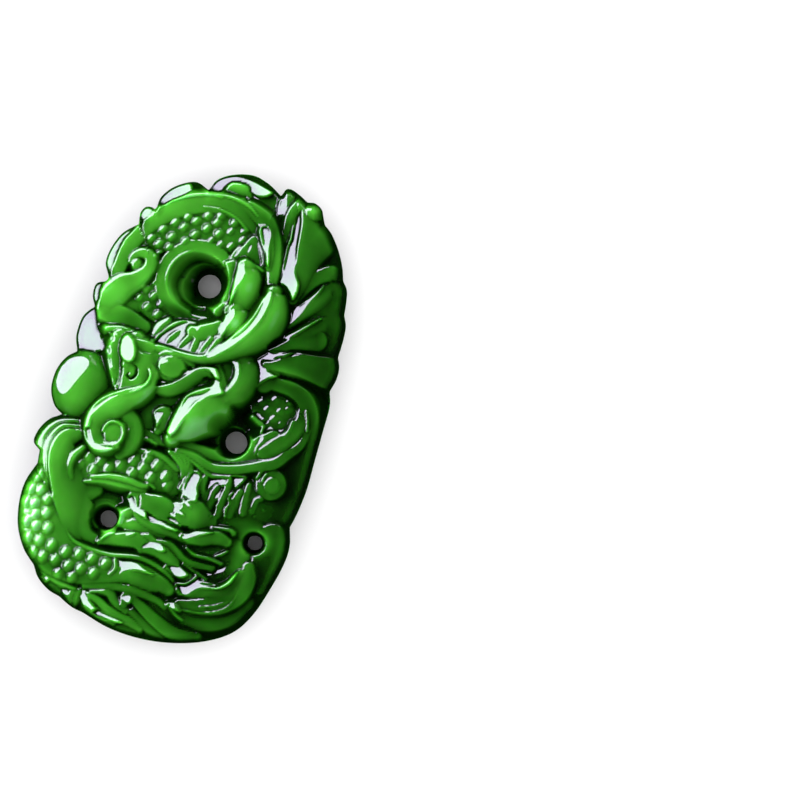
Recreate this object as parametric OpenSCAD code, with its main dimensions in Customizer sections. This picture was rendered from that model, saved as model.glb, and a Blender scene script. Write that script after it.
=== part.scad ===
// Carved stone pendant: one piece of dark green stone, flat at the back, with a dragon's head, coils,
// fins, clouds and a pearl in high relief on the front. It lies on its back: x runs across, y runs
// up to the end with the hanging hole, z comes out of the carved face. The origin is under its middle.

/* [Size] */
// Length from the lowest to the highest point of the outline
pendant_length = 60; // [45:1:80]
// Height of the highest carving above the flat back
pendant_thickness = 12.4; // [10:0.1:16]
// Height of the widest line round the side above the back
girdle_height = 5; // [4:0.1:6]

/* [Holes] */
// Diameter of the drilled hole that the pendant hangs by
hanging_hole_d = 3; // [2.4:0.1:3.6]
// Diameter of the bowl carved round the hanging hole, at its floor
bowl_floor_d = 6; // [5.8:0.1:6.4]
// Diameter of the bowl at its rim
bowl_rim_d = 7.6; // [6.6:0.1:8]
// Height of the bowl's floor above the back
bowl_floor_height = 4.6; // [4:0.1:5]
// Diameter of the drilled hole behind the jaw
jaw_hole_d = 2.8; // [2:0.1:3.4]
// Diameter of the drilled hole above the tail
tail_hole_d = 2.2; // [1.6:0.1:2.8]
// Diameter of the small drilled hole near the right side
side_hole_d = 1.9; // [1.4:0.1:2.2]

/* [Surface] */
// Columns of facets across the carved face
face_columns = 52; // [30:2:56]
// Rows of facets along the carved face
face_rows = 84; // [50:2:90]
// Steepness of the walls between the carved forms
wall_slope = 2.2; // [1.5:0.1:3]
// Width of the band in which the carving rounds down to the widest line
edge_round = 1.3; // [0.8:0.1:2]

/* [Hidden] */

bore_fn = 64;
overshoot = 1;         // how far a drill starts and ends outside the stone
curve_steps = 3;       // pieces that a curve makes between two rows of a table
lobe_steps = 5;        // the same for the outline, which has tighter turns
form_margin = 2;       // how far a form's own wall can reach past its half width
least_width = 0.05;    // no form is narrower than this on either side
melt = 6;              // how sharply two forms meet: they melt together within about 1 / melt
round_power = 2.4;     // section of the rounded band along the edge
cut_power = 1.5;       // section of a hollow cut with a round tool
grid_power = 7;        // how late the grid turns from an oval to the true outline
half_across = 17.2;    // the oval that the grid fills
half_along = 29.9;

// The tables are drawn 60 long and with the widest line 5 above the back, and scaled at the end
drawn_girdle = 5;

// Outline, clockwise from the top cloud: each lobe runs from one notch to the next, rows are [x, y]
outline_lobes = [
    [[-5.5, 26.6], [-4.8, 28.2], [-3, 29.4], [-0.6, 30], [1.6, 29.5], [3.45, 28.5]],
    [[3.45, 28.5], [3.75, 29.5], [4.5, 29.7], [5.7, 29.3], [6.8, 28.75]],
    [[6.8, 28.75], [7.8, 28.9], [8.8, 28.4], [9.3, 27.5], [9.75, 26.65]],
    [[9.75, 26.65], [10.9, 25.8], [12.3, 24.1], [13.4, 22.2], [14, 20.6]],
    [[14, 20.6], [14.8, 19.6], [15.15, 18.2], [15.4, 16.5]],
    [[15.4, 16.5], [16, 15.2], [16.2, 13.4], [16.2, 11.2]],
    [[16.2, 11.2], [16.75, 9.9], [16.8, 8.4], [16.45, 6.8]],
    [[16.45, 6.8], [17, 5], [17.1, 2], [17.2, -2], [17.3, -6], [17, -9.2], [16.65, -11]],
    [[16.65, -11], [17.3, -13.2], [17.3, -15.6], [16.6, -19], [15.5, -22.7], [13.7, -25.7],
     [10.5, -27.9], [6.5, -29.3], [2.5, -29.9], [-1.5, -29.75], [-5.2, -28.85]],
    [[-5.2, -28.85], [-6.5, -28.65], [-7.6, -28.25], [-8.5, -27.8]],
    [[-8.5, -27.8], [-10.2, -27.35], [-11.8, -26.3], [-12.8, -24.9]],
    [[-12.8, -24.9], [-14.6, -23.3], [-16.1, -20.9], [-16.85, -18], [-16.9, -15.2], [-16.1, -12.5]],
    [[-16.1, -12.5], [-16.2, -11.7], [-16.3, -10.9]],
    [[-16.3, -10.9], [-17.35, -10], [-17.1, -8.2], [-16.1, -6.6], [-14.8, -5.8]],
    [[-14.8, -5.8], [-16.2, -4.9], [-17.2, -3], [-17.25, -0.6], [-16.5, 1.3], [-15.4, 2.4]],
    [[-15.4, 2.4], [-16.1, 4.2], [-16.1, 6.4], [-15.6, 7.6], [-14.9, 8.4]],
    [[-14.9, 8.4], [-15.6, 9.7], [-15.6, 11.2], [-14.5, 11.9]],
    [[-14.5, 11.9], [-14.3, 12.3], [-14.4, 12.7]],
    [[-14.4, 12.7], [-15.25, 14.1], [-15.1, 16.2], [-14.2, 18.4], [-12.35, 20.2]],
    [[-12.35, 20.2], [-12.9, 21], [-12.6, 22.1], [-11.9, 22.45], [-11.1, 22.3]],
    [[-11.1, 22.3], [-10.95, 24.1], [-9.6, 25.9], [-7.4, 27.1], [-5.5, 26.6]],
];

// Rounded pillows, rows are
// [x, y, half width, half length, turn, top, fall at the rim, power of the fall]
pillows = [
    [1.2, 25.2, 7.2, 4.9, 0, 8.6, 2.8, 1.8],        // top cloud
    [-1.8, 27, 1.7, 1.6, 0, 9, 0.5, 4],             // bump on it
    [-13.8, 5.3, 2.6, 3.3, 10, 8.6, 2, 2],          // cloud above the pearl
    [-13.25, 5.45, 1.45, 1.55, 0, 9.7, 0.6, 4],     // bump on it
    [-13.4, -1.4, 4.15, 4.3, 0, 10.7, 2.39, 2],     // pearl
    [-3.4, 4, 1.65, 1.45, 10, 11.7, 0.9, 2.6],      // eyeball
    [-7.95, -6.3, 1.05, 1.15, 0, 10.9, 0.55, 2.6],  // ball in the whisker's curl
    [12.8, -6.4, 1.75, 1.75, 0, 9.9, 0.7, 3],       // boss on the right
    [8.2, 28, 1.15, 0.95, 0, 8.6, 0.7, 2.6],        // knob at the top
    [-3, 22, 8.5, 4, 0, 7, 1, 2],                   // ground under the top coil
    [5, 14, 11, 13, 0, 7.4, 1.2, 2],                // ground under the neck
    [10, 15, 6.5, 9.5, 0, 8.7, 1.4, 2],             // ground under the fins
    [-5, 6, 10.5, 9, 0, 8, 1.4, 2],                 // ground under the head
    [3.5, -14, 13, 13.5, 0, 7.9, 1.6, 2],           // ground under the claw
    [7.5, -16.6, 4.5, 2.4, 0, 9, 0.6, 2],           // raised ground beside the small hole
    [9, -12.6, 5, 2, 0, 8.8, 0.5, 2],               // raised ground under the plates
    [3, -25, 8, 3.2, 10, 8.6, 0.8, 2],              // ground under the lower hair
    [-9.5, -14, 7, 11, 0, 7.2, 1.4, 2],             // ground under the tail
    [0, 0, 16, 28.5, 0, 6.4, 1.4, 2],               // ground under everything
];

// Long forms. The first item is [fall on the left side, its power, fall on the right side, its power],
// and a fall is a part of the half width. Then come the rows along the crest,
// [x, y, half width on the left, half width on the right, height].
clouds = [
    [[0.7, 1.6, 0.3, 3], [[-10.5, 22.9, 0.7, 0.7, 6.9], [-9.7, 24.1, 1.3, 1.3, 7.4],
        [-8.3, 25.3, 1.5, 1.5, 7.8],
        [-6.7, 25.9, 1.3, 1.3, 7.9], [-5.5, 26, 0.9, 0.9, 7.6]]],
    [[0.9, 1.4, 0.3, 3], [[-14.2, 13.2, 0.9, 0.9, 7], [-14.2, 15.4, 1.1, 1.1, 7.2],
        [-13.6, 17.8, 1, 1, 7.2],
        [-12.6, 19.8, 0.7, 0.7, 7]]],
    [[0.3, 2.5, 0.3, 2.5], [[-13.2, 6.8, 0.75, 0.75, 9], [-11, 7.1, 0.65, 0.65, 9.1],
        [-8.6, 7, 0.55, 0.55, 9]]],
    [[0.42, 3.2, 0.35, 3], [[-13, 9.6, 1.9, 1.9, 9.3], [-12.7, 10.9, 1.9, 1.9, 9.7],
        [-11.5, 12.2, 1.3, 1.3, 9.7],
        [-10.3, 13.4, 0.95, 0.95, 9.7], [-9.6, 15, 0.8, 0.8, 9.8], [-9.7, 16.3, 0.7, 0.7, 9.8],
        [-10.6, 16.7, 0.55, 0.55, 9.8], [-11.6, 16.4, 0.45, 0.45, 9.6]]],
    [[0.3, 2.5, 0.3, 2.5], [[-13, 8.6, 1.2, 1.2, 9], [-11.5, 8.3, 1.2, 1.2, 9.1],
        [-9.8, 7.9, 0.8, 0.8, 8.9]]],
];
top_coil = [
    [[0.4, 4, 0.3, 4], [[-13.2, 13.4, 0.9, 0.9, 9.2], [-13.05, 15.2, 1.05, 1.05, 9.2],
        [-12.45, 17.9, 1.1, 1.1, 9.2],
        [-11.15, 20.3, 1.1, 1.1, 9.3], [-9.3, 22.35, 1.1, 1.1, 9.3], [-6.8, 24.1, 1, 1, 9.3],
        [-3.8, 25.05, 0.9, 0.9, 9.3], [-1.3, 24.95, 0.75, 0.75, 9.3], [0.4, 24.25, 0.5, 0.5, 9.2]]],
    [[0.12, 3, 0.12, 3], [[-10.2, 17, 1.1, 1.1, 9.1], [-9.3, 18.7, 1.7, 1.7, 9.2], [-7.8, 20.4, 2, 2, 9.2],
        [-5.8, 21.6, 2.15, 2.15, 9.2], [-3.6, 22.2, 2.2, 2.2, 9.2], [-1.4, 22.1, 2.1, 2.1, 9.2],
        [0.4, 21.5, 1.7, 1.7, 9.1], [1.9, 20.8, 1.1, 1.1, 8.9]]],
    [[0.35, 3, 0.2, 3], [[-8.1, 12.2, 0.7, 0.7, 9], [-8.3, 14, 0.85, 0.85, 9.2],
        [-8.1, 16, 0.95, 0.95, 9.3],
        [-7.2, 18.2, 0.95, 0.95, 9.3], [-5.4, 19.8, 0.9, 0.9, 9.2], [-3, 20.1, 0.8, 0.8, 9],
        [-1, 19.6, 0.6, 0.6, 8.9]]],
    [[0.3, 3, 0.3, 3], [[-7.6, 11.6, 0.8, 0.8, 8.9], [-5.8, 11.2, 0.7, 0.7, 8.9], [-3.6, 10.9, 0.6, 0.6, 9],
        [-1, 11.3, 0.6, 0.6, 9.3], [0.9, 11.2, 0.55, 0.55, 9.4]]],
];
mane = [
    [[0.4, 1.6, 0.35, 2.2], [[-4.6, 26, 0.4, 0.4, 8.9], [-2, 26.15, 0.6, 0.6, 9.2],
        [0.4, 25.8, 0.8, 0.9, 9.5], [2.6, 24.8, 1, 1.1, 9.8], [4.2, 23, 1, 1.3, 10],
        [5, 21, 1, 1.3, 10.1], [5.4, 19.2, 0.9, 1.1, 10.2], [5.6, 17.8, 0.7, 0.8, 10.1]]],
    [[0.75, 1.5, 0.2, 2.5], [[4.4, 19.2, 0.35, 0.35, 9.5], [3.9, 20.6, 0.75, 0.75, 10.1],
        [3.3, 22.2, 1, 1, 10.2],
        [2.75, 23.5, 0.75, 0.75, 9.9]]],
    [[0.45, 2.2, 0.4, 2.5], [[3.9, 18.5, 0.4, 0.4, 9.4], [3.3, 19.7, 0.9, 0.9, 9.8],
        [2.6, 21, 0.9, 0.9, 9.7]]],
    [[0.44, 1.2, 0.35, 2.6], [[1.35, 13.5, 0.5, 2.4, 10.4], [1.7, 14.8, 0.7, 2.8, 10.8],
        [1.75, 16.2, 0.9, 2.7, 11], [1.95, 17.6, 1, 2.2, 10.9], [1.8, 18.6, 0.8, 1.3, 10.5]]],
    [[0.44, 1.2, 0.4, 2.6], [[1.4, 8.8, 0.5, 0.4, 10.6], [1.8, 10.1, 0.9, 1.3, 11],
        [2.25, 11.3, 1, 1.9, 11.1], [2.4, 12.4, 1, 1.8, 11], [2.2, 13.1, 0.7, 1.2, 10.7]]],
];
brow = [
    [[0.44, 1.2, 0.6, 2.4], [[-5.6, 5.65, 0.55, 0.5, 10.9], [-2.4, 5.8, 0.45, 0.4, 11.2],
        [-0.6, 6.05, 0.6, 0.6, 11.4], [0.9, 6.7, 0.9, 0.9, 11.6], [2.4, 7.9, 1.2, 1.3, 11.8],
        [3.5, 9.2, 1.3, 1.9, 11.9], [4.4, 10.5, 1.3, 2.5, 12], [5.2, 11.9, 1.3, 3, 12],
        [5.75, 13.4, 1.3, 3, 11.9], [6.05, 14.8, 1.2, 2.5, 11.7], [6.15, 15.8, 1, 1.8, 11.4],
        [6, 16.5, 0.7, 1.1, 11]]],
    [[0.75, 1.3, 0.1, 3], [[-5.9, 6.5, 0.8, 0.8, 9.9], [-5, 7.6, 1.1, 1.1, 10.3],
        [-3.9, 8.8, 1.3, 1.3, 10.7],
        [-2.9, 9.7, 1, 1, 10.7]]],
    [[0.5, 3, 0.5, 3], [[-2.2, 8.9, 0.9, 0.9, 11.3], [-1.1, 9.5, 1.05, 1.05, 11.4],
        [0.1, 10.3, 0.95, 0.95, 11.1]]],
    [[0.2, 2, 0.2, 2], [[-3.4, 6.9, 1.6, 1.6, 9.8], [-1.5, 7.4, 1.6, 1.6, 10.2],
        [0.6, 8.4, 1.5, 1.5, 10.3]]],
];
fins = [
    [[0.5, 3, 0.5, 3], [[5.75, 23.6, 0.5, 0.35, 9.1], [5.55, 25.2, 0.7, 0.45, 9.2],
        [5.7, 26.8, 0.8, 0.55, 9],
        [6.1, 28.2, 0.7, 0.7, 8.5]]],
    [[0.5, 1.25, 0.42, 2], [[9, 17.3, 1.6, 3, 9.6], [8.5, 19.4, 2.1, 4.5, 9.9], [7.9, 22, 1.6, 4.5, 10],
        [7.2, 25, 1.15, 3.5, 9.7], [6.6, 27.4, 0.5, 2.4, 8.9]]],
    [[0.3, 2, 0.6, 2.5], [[10.1, 18.4, 0.5, 0.5, 9.2], [11.3, 20.3, 0.6, 0.6, 8.9],
        [12.9, 21, 0.5, 0.5, 8.4]]],
    [[0.44, 1.15, 0.45, 2.2], [[9.25, 13, 0.3, 0.3, 9.2], [9.95, 14.8, 0.75, 0.9, 9.4],
        [10.6, 16.3, 0.6, 1.4, 9.3], [11.3, 17.7, 0.4, 1.8, 9.1], [12.2, 19.4, 0.3, 2, 8.6],
        [13.6, 20.2, 0.3, 1.6, 7.9]]],
    [[0.44, 1.15, 0.4, 2.6], [[7.5, 9.75, 0.3, 0.35, 9.2], [8.5, 10.55, 0.5, 0.7, 9.5],
        [9.6, 11.4, 0.65, 1, 9.5], [10.6, 12.5, 0.55, 1.4, 9.3], [11.6, 13.8, 0.4, 1.7, 9.1],
        [12.9, 15.3, 0.3, 2.2, 8.6], [14.6, 16, 0.3, 2.2, 7.8]]],
    [[0.3, 2, 0.2, 3], [[7.5, 7.5, 0.5, 0.4, 9.2], [8.3, 8.2, 0.75, 1, 9.4],
        [9.3, 8.95, 0.5, 1.6, 9.4], [10.5, 9.9, 0.3, 2.4, 9.2], [12.4, 10.3, 0.3, 2.9, 8.9],
        [15.8, 10.6, 0.3, 3.4, 7.8]]],
    [[0.2, 2, 0.2, 2], [[7.6, 4.9, 0.5, 0.4, 9.1], [8.3, 5.6, 0.7, 0.9, 9.2],
        [9.5, 5.95, 0.6, 1, 9.25], [12, 5.9, 0.7, 1.1, 9.1], [13.9, 5, 0.8, 1.2, 8.9],
        [15, 3.2, 1, 1.3, 8.6], [15.5, 0.6, 1.3, 1.6, 8.4], [15.6, -2.4, 1.4, 1.8, 8.2],
        [15.6, -5.5, 1.5, 2, 8], [15.4, -9, 1.6, 2.4, 7.8]]],
    [[0.2, 2, 0.2, 2], [[5.9, 8, 0.3, 0.3, 8.1], [7.2, 9.2, 1, 1, 8.4], [9, 9, 1.2, 1.2, 8.4],
        [10.5, 10.4, 1.2, 1.2, 8.3], [12, 13.2, 1.5, 1.5, 8]]],
];
right_coil = [
    [[0.2, 3, 0.2, 3], [[8.6, 2.6, 1, 1, 8.4], [9.8, 2.7, 1.7, 1.7, 8.5], [11.2, 2.2, 1.9, 1.9, 8.6],
        [11.7, 0.8, 1.4, 1.4, 8.6], [10.6, 0, 0.9, 0.9, 8.5]]],
    [[0.4, 2.6, 0.3, 3], [[9.9, -3.1, 0.7, 0.7, 9.3], [10.9, -2.1, 1, 0.9, 9.4],
        [12.4, -0.7, 1.1, 0.9, 9.3],
        [13.5, 1, 0.9, 0.9, 9.1], [13.6, 2.8, 0.7, 0.8, 8.7], [12.9, 4, 0.5, 0.6, 8.3]]],
    [[0.42, 4, 0.3, 3], [[-1.6, -5.9, 0.35, 0.35, 9], [0.6, -5.7, 0.45, 0.45, 9.2],
        [2.4, -5.85, 0.5, 0.5, 9.3],
        [4.2, -6.35, 0.55, 0.55, 9.4], [5.6, -6.5, 0.6, 0.6, 9.5], [7.6, -6.15, 0.65, 0.65, 9.5],
        [9.6, -5.2, 0.7, 0.7, 9.5], [11.6, -4, 0.75, 0.75, 9.3], [13.5, -2.4, 0.8, 0.8, 9.1],
        [14.8, -0.6, 0.6, 0.6, 8.9], [15.1, 1.4, 0.4, 0.4, 8.7]]],
    [[0.3, 2.5, 0.3, 2.5], [[4.4, -5.2, 0.5, 0.5, 8.9], [5.6, -5.5, 0.5, 0.5, 8.9],
        [7.6, -4.9, 0.9, 0.9, 8.9],
        [9.2, -3.9, 0.9, 0.9, 9]]],
];
head = [
    [[0.45, 1.5, 0.45, 1.7], [[-4.5, 1.1, 0.6, 0.8, 10.8], [-3, 1.6, 0.7, 1.2, 11],
        [-2, 2.4, 0.7, 1.4, 11], [-1.2, 3.3, 0.7, 1.5, 11], [-0.4, 4.1, 0.7, 1.3, 11],
        [0.4, 4.7, 0.6, 1, 11], [1.2, 4.8, 0.6, 0.7, 11], [1.8, 4.6, 0.6, 0.5, 10.9]]],
    [[0.44, 1.2, 0.42, 2.2], [[-0.8, -4.4, 0.9, 1, 10.5], [-0.45, -3.2, 1.2, 2.4, 10.9],
        [-0.1, -1.8, 1.2, 3.4, 11.2], [0.25, -0.6, 1.2, 3.8, 11.35], [0.5, 0.3, 1.2, 4, 11.4],
        [0.9, 1, 1.2, 4, 11.4], [1.9, 1.8, 1.1, 3.8, 11.35], [2.7, 2.4, 1, 3, 11.3],
        [3.1, 3.2, 0.9, 1.5, 11.2], [3.15, 4.2, 0.8, 0.5, 11.1], [2.8, 5, 0.7, 0.4, 10.9],
        [2.2, 5.7, 0.5, 0.4, 10.6]]],
    [[0.5, 2, 0.5, 2], [[2.2, 2.8, 0.8, 0.8, 10.1], [2.7, 4.2, 0.9, 0.9, 10.2],
        [2.2, 5.4, 0.8, 0.8, 10.1]]],
    [[0.3, 2, 0.6, 2.2], [[3.9, 2.6, 0.5, 1.6, 11.2], [4.7, 3.8, 0.8, 2.3, 11.3],
        [5.15, 5, 0.9, 2.3, 11.2], [5.1, 6.1, 0.9, 2.1, 10.9], [4.7, 7.1, 0.8, 1.7, 10.5]]],
    [[0.35, 3, 0.45, 2.6], [[-7.4, 0.2, 1.7, 1.2, 11], [-7.3, 1.9, 1.6, 1.4, 11.4],
        [-7.4, 3.6, 1.7, 1.7, 11.8],
        [-7.9, 5, 1.5, 1.7, 11.4], [-8.6, 5.9, 0.8, 1, 10.6]]],
    [[0.48, 1.2, 0.5, 2], [[-8.25, 3, 1.5, 0.5, 12.3], [-8.25, 4, 2.1, 0.6, 12.4],
        [-8.7, 5, 1.7, 0.6, 12.2],
        [-9.4, 5.8, 0.7, 0.5, 11.7]]],
    [[0.45, 3, 0.3, 3], [[-9.1, -0.9, 0.5, 0.5, 10.4], [-8.9, 0.3, 0.6, 0.6, 10.8],
        [-9.4, 1.5, 0.6, 0.6, 10.8],
        [-10.3, 2.8, 0.55, 0.55, 10.7], [-10.85, 4.2, 0.55, 0.55, 10.5], [-10.7, 5.4, 0.5, 0.5, 10.2]]],
    [[0.35, 3, 0.5, 3.6], [[-4.9, 3.6, 0.5, 0.5, 11.1], [-4.85, 2.2, 0.75, 0.7, 11.3],
        [-5.15, 0.7, 1.1, 1, 11.5],
        [-6.1, -0.7, 1.5, 1.2, 11.6], [-7.6, -1.9, 1.7, 1.3, 11.6], [-9.2, -3.3, 1.6, 1.4, 11.5],
        [-10, -4.9, 1.35, 1.3, 11.4], [-10, -6.4, 1.25, 1.1, 11.3], [-9.2, -7.6, 1, 0.8, 11.1],
        [-8, -7.9, 0.8, 0.55, 10.9], [-6.7, -7.5, 0.6, 0.5, 10.8], [-5.9, -6.4, 0.7, 0.6, 10.7],
        [-6, -5.2, 0.7, 0.6, 10.7], [-6.9, -4.3, 0.5, 0.5, 10.6]]],
    [[0.3, 3, 0.4, 3], [[-6.2, -8.6, 0.5, 0.5, 9.6], [-5.3, -7.4, 0.8, 0.8, 10.1],
        [-5.2, -5.8, 0.8, 0.8, 10.2],
        [-5.7, -4.2, 0.7, 0.7, 10], [-6.2, -3, 0.6, 0.6, 9.8]]],
    [[0.25, 2, 0.25, 2], [[-4.9, -3.6, 1.6, 1.6, 9.2], [-4.3, -1.4, 1.7, 1.7, 9.4],
        [-3.1, 0.5, 1.6, 1.6, 9.9], [-1, 2, 1.5, 1.5, 10.2], [0.8, 3.2, 1.2, 1.2, 10.4]]],
    [[0.1, 3, 0.1, 3], [[-2.9, -3.9, 0.6, 0.8, 9.4], [-2.6, -3, 0.8, 1.1, 9.7],
        [-2.6, -2.1, 1.1, 1.1, 9.8]]],
];
body = [
    [[0.42, 1.15, 0.5, 2], [[4.2, -11.3, 1.6, 0.7, 9.5], [4.6, -9.6, 1.75, 0.5, 9.8],
        [4.7, -8.1, 1.6, 0.5, 9.8]]],
    [[0.6, 2.2, 0.4, 2.5], [[5.6, -12, 0.5, 0.5, 9.5], [5.9, -10.2, 0.6, 0.6, 9.7],
        [6.1, -8.5, 0.5, 0.5, 9.6]]],
    [[0.75, 1.8, 0.4, 2.5], [[7.2, -12, 0.5, 0.5, 9.4], [7.5, -10, 0.65, 0.65, 9.7],
        [7.75, -7.9, 0.5, 0.5, 9.7]]],
    [[0.85, 1.6, 0.4, 2.5], [[8.9, -11.6, 0.5, 0.5, 9.3], [9.3, -9.6, 0.7, 0.7, 9.6],
        [9.8, -7.4, 0.6, 0.6, 9.6]]],
    [[0.2, 2.5, 0.25, 2.5], [[3.4, -10, 1.4, 1.4, 8.6], [6, -9.6, 2.2, 2.2, 8.9], [9, -9.4, 2.4, 2.4, 8.8],
        [12.5, -9, 2.6, 2.6, 8.4], [14.8, -8.6, 2.2, 2.2, 7.8]]],
    [[0.1, 3, 0.1, 3], [[11.4, -5, 1, 1, 8.6], [12.8, -6.4, 2.2, 2.2, 8.6], [13.4, -7.4, 1.5, 1.5, 8.5]]],
    [[0.5, 2.5, 0.4, 2.5], [[6.6, -13.3, 0.8, 0.8, 9.3], [5.2, -13.3, 1.5, 1.5, 9.9],
        [4.2, -13, 1.4, 1.4, 10.2],
        [3.1, -13.2, 1.3, 1.3, 10.2]]],
    [[0.2, 2.5, 0.2, 2.5], [[1, -11.9, 1.4, 1.4, 8.4], [0.4, -13.2, 1.6, 1.6, 8.7]]],
    [[0.12, 3, 0.15, 3], [[-11.3, -11, 1.2, 1.2, 9.2], [-9.4, -10.7, 1.9, 1.9, 9.4], [-7, -10.1, 2, 2, 9.4],
        [-4.6, -9.4, 2.2, 2.2, 9.4], [-2.2, -9.3, 2.3, 2.3, 9.4], [-0.2, -9.7, 1.9, 1.9, 9.3],
        [1, -10.2, 1.2, 1.2, 9]]],
    [[0.3, 2.5, 0.3, 2.5], [[-9.2, -13.6, 1, 1, 7.6], [-6.6, -13, 0.9, 0.9, 8],
        [-4.4, -12.8, 0.7, 0.7, 8.3]]],
];
tail = [
    [[0.2, 3, 0.45, 1.8], [[-8.4, -20.3, 0.4, 0.6, 8.9], [-9.7, -19, 0.7, 1.8, 9.2],
        [-11.2, -16.6, 1, 3, 9.6], [-12.6, -14, 1, 3.8, 10], [-13.4, -11.8, 1.2, 2.6, 10.3],
        [-13.65, -9.8, 1.25, 1.8, 10.4], [-13.2, -8.3, 1.1, 1.3, 10.2],
        [-12.2, -7.5, 0.6, 0.8, 9.8]]],
    [[0.5, 2, 0.3, 2], [[-12.5, -15.5, 0.4, 0.4, 9.4], [-13.9, -14, 0.8, 0.8, 9.6],
        [-15.1, -12, 0.9, 0.9, 9.7],
        [-15.4, -9.8, 0.9, 0.9, 9.7], [-15, -7.8, 0.8, 0.8, 9.5], [-14, -6.6, 0.7, 0.7, 9.3],
        [-12.6, -6.1, 0.6, 0.6, 9.2]]],
    [[0.7, 2, 0.3, 2], [[-16.5, -10.2, 0.6, 0.6, 8.2], [-16.1, -8.7, 1.1, 1.1, 8.7],
        [-15.4, -7.2, 0.9, 0.9, 8.7],
        [-14.6, -6.3, 0.6, 0.6, 8.5]]],
    [[0.22, 2.6, 0.3, 2.4], [[-15, -13.6, 1.5, 1.5, 8.8], [-14.5, -16, 2.3, 2.3, 9.5],
        [-13.8, -18.8, 2.9, 2.9, 9.8],
        [-12, -21.5, 3.1, 3.1, 9.9], [-8.8, -22.9, 2.6, 2.6, 9.9], [-5.6, -22.9, 2.2, 2.2, 9.9],
        [-2.4, -22.5, 1.7, 1.7, 9.8]]],
    [[0.5, 2.6, 0.5, 2.8], [[-5.6, -24.6, 0.55, 0.55, 9.2], [-3.4, -23.6, 0.9, 0.75, 9.5],
        [-1, -22.6, 1.5, 1, 9.8],
        [1.4, -22.1, 1.7, 1.2, 9.9], [3.2, -22.2, 1.5, 1.3, 9.8], [4, -22.6, 1, 1, 9.5]]],
];
lower_hair = [
    [[0.5, 2.5, 0.4, 2.5], [[-4.7, -25.9, 0.3, 0.3, 8.6], [-3.2, -25.9, 0.6, 0.6, 8.8],
        [-1.6, -26.2, 0.8, 0.8, 8.8],
        [0.2, -27, 0.5, 0.5, 8.5]]],
    [[0.5, 2.2, 0.5, 2.5], [[-0.6, -25.6, 0.5, 0.5, 8.8], [0.8, -25.7, 0.7, 0.7, 9],
        [2.4, -26.7, 1, 1, 8.9],
        [4.6, -27.6, 1, 1, 8.5], [7, -27.9, 0.8, 0.8, 8]]],
    [[0.4, 3, 0.6, 2], [[-6.3, -26.7, 0.5, 0.5, 7.7], [-5.2, -28.1, 0.8, 0.7, 7.9],
        [-2.8, -28.8, 0.85, 0.7, 7.9],
        [-0.5, -29, 0.7, 0.7, 7.8], [1.2, -28.8, 0.5, 0.5, 7.6]]],
    [[0.4, 2.5, 0.4, 2.5], [[3, -25.4, 0.4, 0.4, 8.8], [5.4, -26.3, 0.9, 0.9, 8.8],
        [8.4, -26.7, 1.2, 1.2, 8.4],
        [11.4, -25.6, 1.2, 1.2, 7.9]]],
    [[0.5, 2, 0.5, 2], [[-12.3, -25, 0.2, 0.2, 8], [-10.2, -25.9, 0.6, 0.6, 8.2],
        [-8.6, -26.4, 0.7, 0.7, 8.2]]],
    [[0.4, 2.4, 0.5, 2.4], [[-6.7, -26.2, 0.5, 0.5, 8.3], [-6.4, -27.6, 0.65, 0.65, 7.8],
        [-6.2, -28.5, 0.5, 0.5, 7.2]]],
    [[0.4, 2.4, 0.65, 2.2], [[-3.2, -13.5, 0.45, 0.6, 9.5], [-1.8, -13.9, 1, 1.2, 9.8],
        [0, -14, 1.3, 1, 9.8],
        [1.8, -14.4, 0.9, 0.7, 9.6], [3.4, -15, 0.4, 0.4, 9.3]]],
    [[0.35, 3, 0.35, 3], [[-3.3, -15.3, 0.6, 0.6, 9], [-2.2, -15.9, 0.8, 0.8, 9.2],
        [0.4, -16, 0.75, 0.75, 9.3],
        [3, -16.2, 0.7, 0.8, 9.3], [4.6, -16.4, 0.7, 0.7, 9.3]]],
    [[0.65, 2.2, 0.4, 3], [[4, -15.9, 0.3, 0.3, 9.6], [5.4, -15.9, 0.6, 0.8, 9.9], [7.2, -15.7, 1, 1.2, 10],
        [8.8, -15.4, 0.9, 1.1, 9.7], [9.8, -14.9, 0.5, 0.6, 9.2]]],
    [[0.5, 2.4, 0.35, 3], [[-5.4, -19.5, 0.4, 0.4, 8.8], [-3.8, -19, 0.9, 0.9, 9.2],
        [-1.8, -18.7, 1.2, 1.2, 9.4],
        [-0.2, -18.6, 1, 1, 9.3]]],
    [[0.5, 2.2, 0.35, 3], [[-0.6, -19.4, 0.5, 0.6, 9.3], [1, -19.1, 1.1, 0.8, 9.6],
        [2.8, -18.9, 1.3, 1, 9.7],
        [4.1, -19.1, 1, 0.9, 9.4]]],
    [[0.45, 2.8, 0.5, 2.4], [[6.9, -22, 0.8, 0.5, 9.2], [8.6, -22, 1, 0.8, 9.4],
        [10.4, -21.4, 1.2, 0.9, 9.4],
        [11.9, -20, 1.2, 0.8, 9.3], [12.5, -18.6, 0.8, 0.6, 9.1]]],
    [[0.4, 3, 0.6, 2.2], [[6.6, -24.9, 0.5, 0.5, 8.9], [9.4, -24.6, 0.9, 0.9, 9], [12, -23.3, 1.2, 1.2, 9],
        [13.6, -21, 1.3, 1.3, 9], [13.8, -18.6, 1.2, 1.2, 9], [13.2, -17.2, 0.8, 0.8, 8.9]]],
    [[0.6, 2, 0.5, 2.2], [[14.8, -12.8, 1.4, 1.4, 8.4], [15.2, -15.6, 1.6, 1.6, 8.2],
        [14.9, -18.6, 1.5, 1.5, 8]]],
    [[0.4, 2.2, 0.4, 2.2], [[9.8, -14.6, 1, 1, 8.6], [11, -16.8, 1.6, 1.6, 8.6],
        [10.8, -19.2, 1.5, 1.5, 8.6],
        [8.6, -20.2, 0.8, 0.8, 8.5]]],
];

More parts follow.
